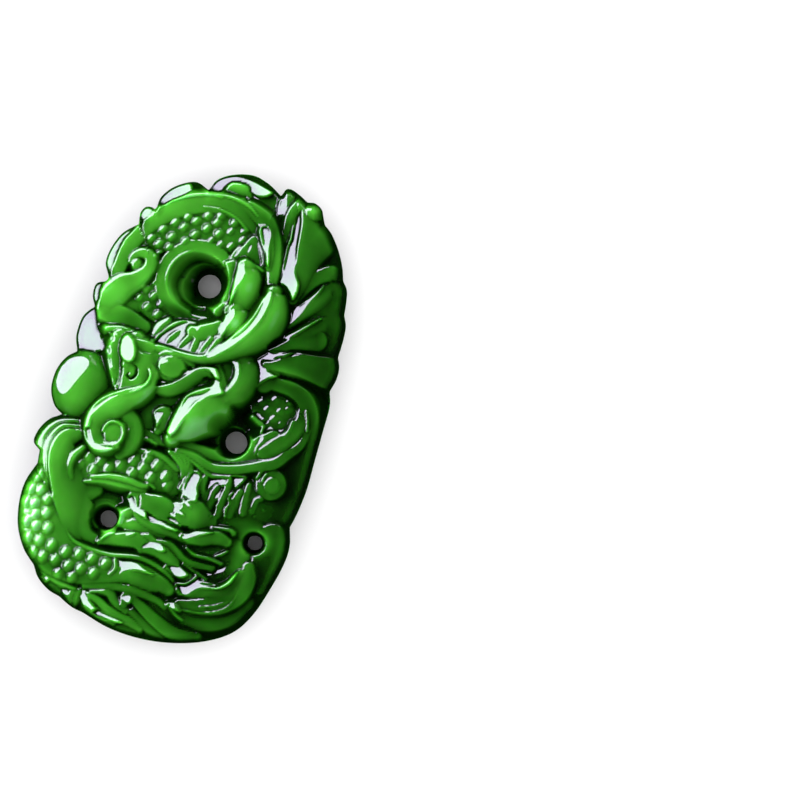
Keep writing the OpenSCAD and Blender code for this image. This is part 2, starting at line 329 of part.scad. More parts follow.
// The open mouth, rows are [x, y, half width, depth] along each stroke of the tool
mouth_cuts = [
    [[-4.2, 0.5, 0.9, 0.3], [-2.8, 0.3, 1.2, 0.6], [-1.5, 0.6, 1.1, 0.6], [-0.6, 1, 0.8, 0.3]],
    [[-4.6, -0.6, 1, 0.3], [-4.5, -2.4, 1.2, 0.6], [-4.1, -4, 0.9, 0.4]],
];

// Drilled holes, rows are [x, y]
hanging_hole_at = [-1.95, 15.05];
bowl_at = [-3.3, 15.1];
jaw_hole_at = [7.05, -2.8];
tail_hole_at = [-5.55, -16.7];
side_hole_at = [13, -14.2];

// The side below the widest line: [height as a part of the girdle's, how far it has drawn in]
side_rings = [[0.44, 0.25], [0.14, 0.9], [0, 2.2]];

// Curve through the rows of a table, each column carried along alike (Catmull-Rom)
function beyond(rows, i) =
    i < 0 ? 2 * rows[0] - rows[1]
    : i >= len(rows) ? 2 * rows[len(rows) - 1] - rows[len(rows) - 2]
    : rows[i];
function curve_point(a, b, c, d, t) =
    0.5 * (2 * b + (c - a) * t + (2 * a - 5 * b + 4 * c - d) * t * t + (3 * b - a - 3 * c + d) * t * t * t);
function curve(rows, steps) = [
    for (i = [0 : len(rows) - 2], k = [0 : steps - 1])
        curve_point(beyond(rows, i - 1), rows[i], rows[i + 1], beyond(rows, i + 2), k / steps),
    rows[len(rows) - 1]
];

// The outline as a table of [angle, radius], which lookup() reads
outline_points = [
    for (lobe = outline_lobes)
        let (c = curve(lobe, lobe_steps))
        for (i = [0 : len(c) - 2]) c[i]
];
function turn_of(p) = (atan2(p[1], p[0]) + 360) % 360;
outline_seen = [for (p = outline_points) [turn_of(p), norm(p)]];
first_seen = min([for (s = outline_seen) s[0]]);
first_at = search(first_seen, [for (s = outline_seen) s[0]])[0];
count_seen = len(outline_seen);
// The points run clockwise, so the table is read backwards from the first one past angle 0
outline_radii = [
    let (last = outline_seen[(first_at + 1) % count_seen]) [last[0] - 360, last[1]],
    for (i = [0 : count_seen - 1]) outline_seen[(first_at - i + count_seen) % count_seen],
    [outline_seen[first_at][0] + 360, outline_seen[first_at][1]]
];

// A square of points, eased into a disc, stretched to the oval and drawn out to the outline at its edge
function disc_point(u, v) = [u * sqrt(1 - v * v / 2), v * sqrt(1 - u * u / 2)];
function face_point(u, v) =
    let (p = disc_point(u, v),
         q = [half_across * p[0], half_along * p[1]],
         r = norm(p),
         oval = r > 0 ? norm(q) / r : 1,
         stretch = r > 0 ? lookup(turn_of(q), outline_radii) / oval - 1 : 0)
    q * (1 + stretch * pow(r, grid_power));

// A form is kept with its curve and the box that it can reach
function reach_of(rows) = max([for (p = rows) max(p[2], p[3])]) + form_margin;
function form(item) =
    let (c = curve(item[1], curve_steps), m = reach_of(c))
    [item[0], c, [min([for (p = c) p[0]]) - m, max([for (p = c) p[0]]) + m,
                  min([for (p = c) p[1]]) - m, max([for (p = c) p[1]]) + m]];
carving = concat(clouds, top_coil, mane, brow, fins, right_coil, head, body, tail, lower_hair);
forms = [for (item = carving) form(item)];
cuts = [for (rows = mouth_cuts) form([[0, 0, 0, 0], rows])];
function in_reach(p, box) = p[0] > box[0] && p[0] < box[1] && p[1] > box[2] && p[1] < box[3];

// Nearest place on a curve: [distance, -1 on its right to 1 on its left, the columns there]
function along(p, a, b) =
    let (ab = [b[0] - a[0], b[1] - a[1]], ap = [p[0] - a[0], p[1] - a[1]])
    min(1, max(0, (ap * ab) / (ab * ab)));
function nearest(p, c) =
    let (feet = [for (i = [0 : len(c) - 2]) c[i] + along(p, c[i], c[i + 1]) * (c[i + 1] - c[i])],
         ds = [for (s = feet) norm([p[0] - s[0], p[1] - s[1]])],
         d = min(ds),
         k = search(d, ds)[0],
         s = feet[k],
         ab = [c[k + 1][0] - c[k][0], c[k + 1][1] - c[k][1]],
         across = ab[0] * (p[1] - s[1]) - ab[1] * (p[0] - s[0]))
    [d, d > 0 ? across / (norm(ab) * d) : 0, s];

// Height of one form over a point: it falls from its crest by a power of the distance,
// then by a straight wall
function fallen(top, w, fall, power, q) =
    top - fall * w * pow(min(q, 1), power) - wall_slope * w * max(q - 1, 0);
function form_height(p, f) =
    let (n = nearest(p, f[1]),
         left = (1 + n[1]) / 2,
         w = max(least_width, n[2][2] * left + n[2][3] * (1 - left)),
         fall = f[0][0] * left + f[0][2] * (1 - left),
         power = f[0][1] * left + f[0][3] * (1 - left))
    fallen(n[2][4], w, fall, power, n[0] / w);
function pillow_height(p, row) =
    let (dx = p[0] - row[0], dy = p[1] - row[1],
         along = dx * cos(row[4]) + dy * sin(row[4]),
         across = dy * cos(row[4]) - dx * sin(row[4]),
         q = norm([along / row[2], across / row[3]]))
    row[5] - row[6] * pow(min(q, 1), row[7]) - wall_slope * min(row[2], row[3]) * max(q - 1, 0);
function cut_depth(p, f) =
    let (n = nearest(p, f[1]), q = min(1, n[0] / n[2][2]))
    n[2][3] * pow(1 - q * q, cut_power);
// The highest of many heights, with the crease between the two highest ones softened
function melted(heights) =
    let (top = max(heights), shares = [for (h = heights) exp(melt * (h - top))])
    top + ln(shares * [for (s = shares) 1]) / melt;
function carved_height(p) =
    melted(concat(
        [drawn_girdle],
        [for (row = pillows) pillow_height(p, row)],
        [for (f = forms) if (in_reach(p, f[2])) form_height(p, f)]))
    - max(concat([0], [for (f = cuts) if (in_reach(p, f[2])) cut_depth(p, f)]));

// The carving rounds down to the widest line within a band inside the outline
function rounded(from_edge) =
    let (t = min(1, max(0, from_edge / edge_round)))
    pow(1 - pow(1 - t, round_power), 1 / round_power);
function from_edge(p) = lookup(turn_of(p), outline_radii) - norm(p);
function rise(p) = (carved_height(p) - drawn_girdle) * rounded(from_edge(p));
function drawn_point(u, v) =
    let (p = face_point(u, v))
    [p[0], p[1], max(abs(u), abs(v)) == 1 ? 0 : rise(p)];

drawn_points = [
    for (j = [0 : face_rows], i = [0 : face_columns])
        drawn_point(2 * i / face_columns - 1, 2 * j / face_rows - 1)
];
low = [for (k = [0 : 2]) min([for (p = drawn_points) p[k]])];
high = [for (k = [0 : 2]) max([for (p = drawn_points) p[k]])];
middle = [(low[0] + high[0]) / 2, (low[1] + high[1]) / 2];
size_scale = pendant_length / (high[1] - low[1]);
rise_scale = (pendant_thickness - girdle_height) / high[2];
// A place in the tables' drawing, moved to the pendant's own frame
function placed(p) = [(p[0] - middle[0]) * size_scale, (p[1] - middle[1]) * size_scale];

face_points = [for (p = drawn_points) concat(placed(p), [girdle_height + p[2] * rise_scale])];
function face_index(i, j) = j * (face_columns + 1) + i;
// The edge of the face, counterclockwise seen from the front
face_edge = concat(
    [for (i = [0 : face_columns - 1]) face_index(i, 0)],
    [for (j = [0 : face_rows - 1]) face_index(face_columns, j)],
    [for (i = [face_columns : -1 : 1]) face_index(i, face_rows)],
    [for (j = [face_rows : -1 : 1]) face_index(0, j)]);
edge_count = len(face_edge);
// Each lower ring is the edge drawn in towards the middle
side_points = [
    for (ring = side_rings, k = face_edge)
        let (p = face_points[k], r = norm([p[0], p[1]]), s = (r - ring[1] * size_scale) / r)
        [p[0] * s, p[1] * s, ring[0] * girdle_height]
];
function ring_index(ring, k) =
    ring == 0 ? face_edge[k % edge_count]
    : len(face_points) + (ring - 1) * edge_count + k % edge_count;

// Two facets for each cell. Their shared side runs along the carving, between the corners that are most
// alike in height, and in the cells along the edge it points to the middle.
function height_gap(a, b) = abs(face_points[a][2] - face_points[b][2]);
face_facets = [
    for (j = [0 : face_rows - 1], i = [0 : face_columns - 1])
        let (a = face_index(i, j),
             b = face_index(i + 1, j),
             c = face_index(i + 1, j + 1),
             d = face_index(i, j + 1),
             at_edge = i == 0 || j == 0 || i == face_columns - 1 || j == face_rows - 1,
             inward = (2 * i + 1 - face_columns) * (2 * j + 1 - face_rows) > 0,
             a_to_c = at_edge ? inward : height_gap(a, c) < height_gap(b, d))
        for (t = a_to_c ? [[a, d, c], [a, c, b]] : [[a, d, b], [d, c, b]]) t
];
side_facets = [
    for (r = [0 : len(side_rings) - 1], k = [0 : edge_count - 1])
        for (t = [[ring_index(r, k), ring_index(r, k + 1), ring_index(r + 1, k + 1)],
                  [ring_index(r, k), ring_index(r + 1, k + 1), ring_index(r + 1, k)]]) t
];
back_facet = [for (k = [0 : edge_count - 1]) ring_index(len(side_rings), k)];

module carved_block() {
    polyhedron(
        points = concat(face_points, side_points),
        faces = concat(face_facets, side_facets, [back_facet]),
        convexity = 12);
}

// A round hole drilled straight through from the back
module drilled(at, d) {
    translate(concat(placed(at), [-overshoot]))
        cylinder(d = d, h = pendant_thickness + 2 * overshoot, $fn = bore_fn);
}

// The wide bowl round the hanging hole
module bowl() {
    translate(concat(placed(bowl_at), [bowl_floor_height]))
        cylinder(
            d1 = bowl_floor_d, d2 = bowl_rim_d,
            h = pendant_thickness - bowl_floor_height, $fn = bore_fn);
}

module carved_stone() {
    color("darkgreen")
        difference() {
            carved_block();
            bowl();
            drilled(hanging_hole_at, hanging_hole_d);
            drilled(jaw_hole_at, jaw_hole_d);
            drilled(tail_hole_at, tail_hole_d);
            drilled(side_hole_at, side_hole_d);
        }
}

carved_stone();
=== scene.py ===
import bpy
import numpy as np
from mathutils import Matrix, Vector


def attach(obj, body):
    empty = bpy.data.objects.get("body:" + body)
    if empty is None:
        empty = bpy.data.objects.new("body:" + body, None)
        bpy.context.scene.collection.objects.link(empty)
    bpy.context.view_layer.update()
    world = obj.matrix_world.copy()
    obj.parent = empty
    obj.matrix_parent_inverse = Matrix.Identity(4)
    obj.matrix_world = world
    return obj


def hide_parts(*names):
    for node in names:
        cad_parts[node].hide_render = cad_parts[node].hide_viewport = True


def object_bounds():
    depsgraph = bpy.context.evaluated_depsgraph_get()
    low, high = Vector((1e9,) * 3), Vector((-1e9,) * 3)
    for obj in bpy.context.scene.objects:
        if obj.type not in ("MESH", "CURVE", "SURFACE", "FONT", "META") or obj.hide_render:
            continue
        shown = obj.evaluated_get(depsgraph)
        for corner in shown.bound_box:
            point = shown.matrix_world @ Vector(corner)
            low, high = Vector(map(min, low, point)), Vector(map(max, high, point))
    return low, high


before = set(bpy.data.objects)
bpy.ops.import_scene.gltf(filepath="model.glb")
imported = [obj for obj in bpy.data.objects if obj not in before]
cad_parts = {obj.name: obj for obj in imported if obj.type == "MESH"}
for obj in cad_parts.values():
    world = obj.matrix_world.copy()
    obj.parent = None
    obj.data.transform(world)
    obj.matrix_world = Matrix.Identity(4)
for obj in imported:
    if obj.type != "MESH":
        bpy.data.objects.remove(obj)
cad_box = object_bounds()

# The block
# The pendant is cut from one flat piece of green stone. Its outline is sawn first, in lobes that meet in
# sharp notches, and the face is then roughed out in broad low pillows. All is drawn in millimetres, with the
# back at height 0, and is moved into the frame at the end.

# Each lobe runs clockwise from one notch to the next. Rows are x, y.
LOBES = [
    [(-5.5, 26.6), (-4.8, 28.2), (-3, 29.4), (-0.6, 30), (1.6, 29.5), (3.45, 28.5)],
    [(3.45, 28.5), (3.75, 29.5), (4.5, 29.7), (5.7, 29.3), (6.8, 28.75)],
    [(6.8, 28.75), (7.8, 28.9), (8.8, 28.4), (9.3, 27.5), (9.75, 26.65)],
    [(9.75, 26.65), (10.9, 25.8), (12.3, 24.1), (13.4, 22.2), (14, 20.6)],
    [(14, 20.6), (14.8, 19.6), (15.15, 18.2), (15.4, 16.5)],
    [(15.4, 16.5), (16, 15.2), (16.2, 13.4), (16.2, 11.2)],
    [(16.2, 11.2), (16.75, 9.9), (16.8, 8.4), (16.45, 6.8)],
    [(16.45, 6.8), (17, 5), (17.1, 2), (17.2, -2), (17.3, -6), (17, -9.2), (16.65, -11)],
    [(16.65, -11), (17.3, -13.2), (17.3, -15.6), (16.6, -19), (15.5, -22.7), (13.7, -25.7), (10.5, -27.9),
     (6.5, -29.3), (2.5, -29.9), (-1.5, -29.75), (-5.2, -28.85)],
    [(-5.2, -28.85), (-6.5, -28.65), (-7.6, -28.25), (-8.5, -27.8)],
    [(-8.5, -27.8), (-10.2, -27.35), (-11.8, -26.3), (-12.8, -24.9)],
    [(-12.8, -24.9), (-14.6, -23.3), (-16.1, -20.9), (-16.85, -18), (-16.9, -15.2), (-16.1, -12.5)],
    [(-16.1, -12.5), (-16.2, -11.7), (-16.3, -10.9)],
    [(-16.3, -10.9), (-17.35, -10), (-17.1, -8.2), (-16.1, -6.6), (-14.8, -5.8)],
    [(-14.8, -5.8), (-16.2, -4.9), (-17.2, -3), (-17.25, -0.6), (-16.5, 1.3), (-15.4, 2.4)],
    [(-15.4, 2.4), (-16.1, 4.2), (-16.1, 6.4), (-15.6, 7.6), (-14.9, 8.4)],
    [(-14.9, 8.4), (-15.6, 9.7), (-15.6, 11.2), (-14.5, 11.9)],
    [(-14.5, 11.9), (-14.3, 12.3), (-14.4, 12.7)],
    [(-14.4, 12.7), (-15.25, 14.1), (-15.1, 16.2), (-14.2, 18.4), (-12.35, 20.2)],
    [(-12.35, 20.2), (-12.9, 21), (-12.6, 22.1), (-11.9, 22.45), (-11.1, 22.3)],
    [(-11.1, 22.3), (-10.95, 24.1), (-9.6, 25.9), (-7.4, 27.1), (-5.5, 26.6)],
]


def curve(rows, steps=10):
    """Smooth curve through the rows, all columns alike: on each stretch from b to c, with a before and d
    after, half of 2b + (c - a) t + (2a - 5b + 4c - d) t^2 + (3b - a - 3c + d) t^3, for t from 0 to 1."""
    p = np.asarray(rows, float)
    p = np.vstack([2 * p[0] - p[1], p, 2 * p[-1] - p[-2]])
    a, b, c, d = (p[k:len(p) - 3 + k, None] for k in range(4))
    t = np.linspace(0, 1, steps, endpoint=False)[None, :, None]
    q = 0.5 * (2 * b + (c - a) * t + (2 * a - 5 * b + 4 * c - d) * t**2 + (3 * b - a - 3 * c + d) * t**3)
    return np.vstack([q.reshape(-1, p.shape[1]), p[-2:-1]])


outline = np.vstack([curve(lobe)[:-1] for lobe in LOBES])
GRID = (220, 380)            # cells across and along the carved face
OVAL = (17.2, 29.9)          # half axes of the oval that the grid fills
GRID_POWER = 7               # how late the grid turns from the oval to the outline
TINY = 1e-9                  # keeps a divisor off zero


def reach(x, y):
    """Distance from the middle to the outline in the direction of each point."""
    turn = np.arctan2(outline[:, 1], outline[:, 0])
    return np.interp(np.arctan2(y, x), turn, np.hypot(outline[:, 0], outline[:, 1]), period=2 * np.pi)


def face_grid(cells, oval, power):
    """A square of points (u, v) eased into a disc, (u sqrt(1 - v^2/2), v sqrt(1 - u^2/2)), stretched to an
    oval and then drawn out to the outline, by a share that grows with the power of the disc's radius."""
    u, v = np.meshgrid(np.linspace(-1, 1, cells[0] + 1), np.linspace(-1, 1, cells[1] + 1))
    p = np.stack([u * np.sqrt(1 - v * v / 2), v * np.sqrt(1 - u * u / 2)])
    q = p * np.array(oval)[:, None, None]
    r = np.maximum(np.hypot(*p), TINY)
    return q * (1 + (reach(*q) * r / np.maximum(np.hypot(*q), TINY) - 1) * r**power)


face_x, face_y = (g.ravel() for g in face_grid(GRID, OVAL, GRID_POWER))


def nearest(x, y, path):
    """For each point, from the nearest place on a path of straight pieces: the distance, the side (+1 at
    its left, -1 at its right, 0 beyond an end), and the path's other columns there."""
    a, ab = path[:-1], np.diff(path, axis=0)
    length = np.maximum(np.hypot(ab[:, 0], ab[:, 1]), TINY)
    px, py = x[:, None] - a[:, 0], y[:, None] - a[:, 1]
    t = np.clip((px * ab[:, 0] + py * ab[:, 1]) / length**2, 0, 1)
    dx, dy = px - t * ab[:, 0], py - t * ab[:, 1]
    k = (dx * dx + dy * dy).argmin(1)
    r = np.arange(len(x))
    t, dx, dy = t[r, k], dx[r, k], dy[r, k]
    d = np.hypot(dx, dy)
    side = (ab[k, 0] * dy - ab[k, 1] * dx) / np.maximum(length[k] * d, TINY)
    return d, np.clip(side, -1, 1), a[k, 2:] + t[:, None] * ab[k, 2:]


def in_oval(dx, dy, half_width, half_length, turn):
    """Where points lie in an oval turned by an angle: 0 in its middle, 1 on its rim, and more outside."""
    c, s = np.cos(np.radians(turn)), np.sin(np.radians(turn))
    return np.hypot((dx * c + dy * s) / half_width, (dy * c - dx * s) / half_length)


def higher(a, b, melt):
    """The higher of two heights. Within the melt m of each other, with the share h = 1/2 + (b - a) / 2m of
    b, it is a (1 - h) + b h + m h (1 - h)."""
    h = np.clip(0.5 + 0.5 * (b - a) / melt, 0, 1)
    return a * (1 - h) + b * h + melt * h * (1 - h)


class Carving:
    """Heights over the points of the face. Each call carves one form, and forms that meet melt together."""
    WALL = 2.4           # steepness of the wall past a form's rim
    REACH = 2.2          # how far past its rim a form's wall is worked out
    MELT = 0.1           # how far apart in height two forms still melt together
    THINNEST = 0.03      # least half width

    def __init__(self, x, y, ground):
        self.x, self.y, self.z = x, y, np.full(x.shape, ground)
        self.facets = []

    def near(self, x, y, margin):
        """The points within a margin of the box round the places x, y."""
        return np.nonzero((self.x > np.min(x) - margin) & (self.x < np.max(x) + margin)
                          & (self.y > np.min(y) - margin) & (self.y < np.max(y) + margin))[0]

    def pillow(self, x, y, half_width, half_length, turn, top, fall, power, melt=MELT):
        """Oval pillow: top - fall q^power, with q = 0 in the middle and 1 at the rim, then the wall."""
        i = self.near(x, y, max(half_width, half_length) + self.REACH)
        q = in_oval(self.x[i] - x, self.y[i] - y, half_width, half_length, turn)
        wall = self.WALL * min(half_width, half_length) * np.maximum(q - 1, 0)
        self.z[i] = higher(self.z[i], top - fall * np.minimum(q, 1)**power - wall, melt)

    def form(self, rows, left, right):
        """Long form along a crest, rows x, y, half width, height, or x, y, half width on the left and on
        the right, height. Across it the height is crest - fall w q^power, with q the distance over the
        half width w, then the wall. left and right are (fall, power)."""
        p = np.asarray(rows, float)
        if p.shape[1] == 4:
            p = p[:, [0, 1, 2, 2, 3]]
        path = curve(p)
        path[:, 2:4] = np.maximum(path[:, 2:4], self.THINNEST)
        i = self.near(path[:, 0], path[:, 1], path[:, 2:4].max() + self.REACH)
        d, side, columns = nearest(self.x[i], self.y[i], path)
        h = 0.5 + 0.5 * side
        w = columns[:, 1] * (1 - h) + columns[:, 0] * h
        fall, power = (right[k] * (1 - h) + left[k] * h for k in (0, 1))
        q = d / w
        wall = self.WALL * w * np.maximum(q - 1, 0)
        self.z[i] = higher(self.z[i], columns[:, 2] - fall * w * np.minimum(q, 1)**power - wall, self.MELT)

    def facet(self, *row):
        """Keeps what grind is given for the end of the carving, when it is ground into all that is there."""
        self.facets.append(row)

    def grind(self, corners, lift=0.0, faces=152, slope=0.42, soft=0.3):
        """Grinds what lies inside a closed curve to a plane, at the mean height of what was there plus a
        lift. The plane falls by the slope towards the azimuth that it faces, and it blends into its
        surroundings over a soft border. The curve may have a sharp corner where it begins."""
        path = curve(list(corners) + [corners[0]], steps=6)
        i = self.near(path[:, 0], path[:, 1], soft)
        x, y = self.x[i][:, None], self.y[i][:, None]
        (x0, y0), (x1, y1) = path[:-1].T, path[1:].T
        rising = np.where(y1 == y0, TINY, y1 - y0)
        crossed = ((y0 > y) != (y1 > y)) & (x < (x1 - x0) * (y - y0) / rising + x0)
        inside = crossed.sum(1) % 2 == 1
        d = nearest(self.x[i], self.y[i], path)[0]
        share = np.clip(0.5 + np.where(inside, d, -d) / soft, 0, 1)
        share = share * share * (3 - 2 * share)
        a = np.radians(faces)
        downhill = self.x[i] * np.cos(a) + self.y[i] * np.sin(a)
        plane = self.z[i][inside].mean() + lift - slope * (downhill - downhill[inside].mean())
        self.z[i] += share * (plane - self.z[i])

    def line(self, rows, power=1.5):
        """Groove or raised line along a curve, rows x, y, half width, height. It adds
        height (1 - q^2)^power, with q the distance over the half width."""
        path = curve(rows)
        path[:, 2] = np.maximum(path[:, 2], self.THINNEST)
        i = self.near(path[:, 0], path[:, 1], path[:, 2].max())
        d, _, columns = nearest(self.x[i], self.y[i], path)
        self.z[i] += columns[:, 1] * (1 - np.clip(d / columns[:, 0], 0, 1)**2)**power

    def scales(self, places, half_long, half_wide, turn, height):
        """Small oval bumps, height (1 - q^2) each. Where they overlap the highest counts, and it is added."""
        bump = np.zeros(self.z.shape)
        for x, y in places:
            i = self.near(x, y, max(half_long, half_wide))
            q = in_oval(self.x[i] - x, self.y[i] - y, half_long, half_wide, turn)
            bump[i] = np.maximum(bump[i], height * (1 - q * q))
        self.z += bump

    def well(self, throat, rim, power, melt=0.2):
        """Tapering well between two circles (x, y, radius, height): on the circle that lies a share m of the
        way from the throat's to the rim's, the height is throat + (rim - throat) m^power."""
        (x0, y0, r0, z0), (x1, y1, r1, z1) = throat, rim
        i = self.near(x1, y1, 1.5 * r1)
        # |p - c0 - m (c1 - c0)| = r0 + m (r1 - r0) is a square equation in the share m
        px, py, ex, ey, er = self.x[i] - x0, self.y[i] - y0, x1 - x0, y1 - y0, r1 - r0
        a = ex * ex + ey * ey - er * er
        b = -2 * (px * ex + py * ey + r0 * er)
        c = px * px + py * py - r0 * r0
        m = (-b - np.sqrt(np.maximum(b * b - 4 * a * c, 0))) / (2 * a)
        self.z[i] = -higher(-self.z[i], -(z0 + (z1 - z0) * np.maximum(m, 0)**power), melt)


GIRDLE = 5.0                 # height of the widest line round the side
carving = Carving(face_x, face_y, GIRDLE)

# The ground keeps the gaps between two forms from being too deep. Rows are x, y, half width, half length,
# turn, top, fall, power.
for row in (
    (-3, 22, 8.5, 4, 0, 7, 1, 2),
    (5, 14, 11, 13, 0, 7.4, 1.2, 2),
    (10, 15, 6.5, 9.5, 0, 8.7, 1.4, 2),
    (7.5, -16.6, 4.5, 2.4, 0, 9, 0.6, 2),
    (9, -12.6, 5, 2, 0, 8.8, 0.5, 2),
    (3, -25, 8, 3.2, 10, 8.6, 0.8, 2),
    (-10.6, 10.4, 1.6, 1.6, 0, 8.7, 0.2, 2),
    (-5, 6, 10.5, 9, 0, 8, 1.4, 2),
    (3.5, -14, 13, 13.5, 0, 7.9, 1.6, 2),
    (-9.5, -14, 7, 11, 0, 7.4, 1.4, 2),
    (0, 0, 16, 28.5, 0, 6.4, 1.4, 2),
):
    carving.pillow(*row, melt=0.5)

# Clouds along the left edge
# Low plump lobes that slope away to the outline, and a curled cloud that ends in a hook round a ball. They
# are ground from the stone with wheels, and their facets last, before the polish.

# How a flank falls from a form's crest to its rim: (fall as a part of the half width, power)
FLAT = (0.06, 6)             # level to the rim
PLAIN = (0.1, 2)             # too level at the rim to mirror a lamp
SOFT = (0.32, 2)
ROUND = (0.42, 2.4)
for row in (
    (1.2, 25.2, 7.2, 4.9, 0, 8.6, 2.8, 1.8),
    (-11.5, 21.2, 1.5, 1.6, 0, 7, 1.1, 1.2),
    (-14.2, 10.4, 1.5, 1.9, 0, 6.8, 1, 1.2),
    (-13.4, 5.4, 2.8, 3.3, 10, 7.1, 0.95, 2.6),
    (-11.35, 15.05, 0.6, 0.7, 0, 9.6, 0.2, 3),
):
    carving.pillow(*row)
for rows, left, right in (
    ([(-10.5, 22.6, 0.8, 6.8), (-9.4, 23.9, 1.5, 7.2), (-7.9, 25.1, 2, 7.4), (-6.3, 25.7, 1.5, 7.4),
      (-5.3, 25.9, 0.9, 7.2)], (0.6, 1.2), SOFT),
    ([(-14.1, 13, 0.7, 6.9), (-14, 15.2, 1.2, 7.1), (-13.3, 17.8, 1.3, 7.1), (-12.2, 20, 0.9, 6.9)],
     (0.7, 1.2), SOFT),
    ([(-13, 6.9, 1, 7.4), (-11.9, 7.2, 1.2, 8.3)], SOFT, SOFT),
    ([(-13.3, 8.3, 1.2, 8.9), (-11.6, 8.2, 1.3, 9.1), (-9.8, 8, 1.1, 9.1), (-8.2, 7.7, 0.8, 9.1)],
     FLAT, FLAT),
    ([(-13.4, 8.7, 1.2, 1.2, 9), (-13.2, 10.3, 1.6, 1.8, 9.4), (-12.2, 11.9, 1.6, 1.7, 9.7),
      (-10.9, 13.1, 1.1, 1.3, 9.7), (-9.85, 14.5, 0.8, 0.8, 9.8), (-9.65, 15.8, 0.75, 0.7, 9.8),
      (-10.3, 16.65, 0.65, 0.55, 9.8), (-11.3, 16.6, 0.6, 0.45, 9.7), (-12, 15.9, 0.4, 0.35, 9.5),
      (-12.15, 15.1, 0.25, 0.25, 9.3)], (0.2, 6), (0.25, 3)),
    ([(-12.5, 6.4, 0.14, 0.4, 9.7), (-10.9, 6.85, 0.16, 0.5, 9.9), (-9, 6.75, 0.16, 0.5, 10),
      (-6.8, 6.35, 0.12, 0.3, 10.1)], ROUND, PLAIN),
):
    carving.form(rows, left, right)
for corners in (
    [(-5.4, 26.4), (-5.1, 27.6), (-4.2, 28.6), (-2.8, 29.25), (-1, 29.4), (0.7, 29.1), (2.3, 28.6),
     (1.9, 27.9), (1, 27.6), (-0.2, 27.8), (-0.6, 28.4), (-1.5, 28.6), (-2.8, 28.4), (-3.6, 27.6),
     (-3.9, 26.8)],
    [(-11, 22.9), (-10.9, 24), (-10.2, 25.2), (-9.1, 26.3), (-8, 26.7), (-7.5, 26.3), (-7.6, 25.6),
     (-8.4, 24.8), (-9.4, 24), (-10.3, 23.1)],
    [(-12.3, 20.3), (-12.75, 21.1), (-12.6, 22), (-11.8, 22.4), (-11.3, 22.2), (-11.3, 21.6), (-11.9, 20.8)],
    [(-14.3, 12.9), (-15.1, 14), (-15.15, 15.8), (-14.7, 17.6), (-13.7, 19.1), (-12.6, 20.1), (-13, 19),
     (-13.7, 17.6), (-14, 16), (-14.1, 14.4)],
    [(-15, 8.8), (-15.6, 9.6), (-15.6, 10.9), (-15.1, 11.7), (-14.6, 11.8), (-14.75, 10.6), (-14.6, 9.4)],
    [(-15.2, 2.7), (-16, 4.2), (-16.1, 6.2), (-15.5, 7.7), (-14.8, 8.3), (-14.3, 7.6), (-14, 6.7),
     (-13.5, 5.6), (-12.6, 4.6), (-11.9, 4), (-12.6, 3.2), (-14, 2.9)],
):
    carving.facet(corners)
carving.pillow(-13.5, 5.5, 1.3, 1.35, 0, 7.6, 0.06, 6.0)
carving.form([(-3.2, 26.9, 0.4, 8.1), (-2.4, 27.3, 1.1, 8.3), (-1.5, 27.3, 1.2, 8.4), (-0.8, 27, 0.8, 8.4)],
             FLAT, FLAT)

# Top coil
# The body loops round the bowl at the top. It is cut as a smooth band outside, with scales along its back
# and a smooth inner edge that drops into the bowl.
carving.form([(-10.6, 17.2, 1.2, 8.9), (-9.6, 18.9, 1.8, 9), (-8, 20.6, 2.1, 9), (-5.9, 21.8, 2.3, 9),
              (-3.6, 22.4, 2.4, 9), (-1.4, 22.3, 2.3, 9), (0.4, 21.7, 1.9, 8.9), (1.9, 20.9, 1.2, 8.7)],
             (0.1, 3), (0.1, 3))
carving.form([(-9.3, 14, 0.9, 8.7), (-9.2, 12.6, 1.2, 8.8), (-8.5, 11, 1.5, 8.8), (-6.8, 10, 1.3, 8.7)],
             (0.1, 3), (0.1, 3))
carving.scales([(-10.55, 18.7), (-9.45, 20.2), (-8.2, 21.5), (-6.9, 22.6), (-5.75, 22.4), (-4.5, 23.5),
                (-3, 23.9), (-1.1, 23.6), (-9.4, 18.3), (-8.1, 19.6), (-7, 21.2), (-5.4, 20.7), (-4.2, 21.9),
                (-2.6, 21.7), (-6.3, 19.5), (-8, 18.2), (-3.2, 23), (-7.6, 17.2), (-9, 17)],
               0.72, 0.64, 50, 0.5)
carving.scales([(-3.3, 20.5), (-2, 20.4), (-0.7, 20.6), (-1.2, 22.4), (0.5, 21.8), (0.4, 23)],
               0.62, 0.42, 60, 0.3)
carving.scales([(-9.3, 12.4), (-9.8, 11.2), (-8.4, 13.6), (-8.1, 11.9), (-6.9, 11.2), (-8.5, 10.3),
                (-7, 9.8)], 0.66, 0.58, 60, 0.44)
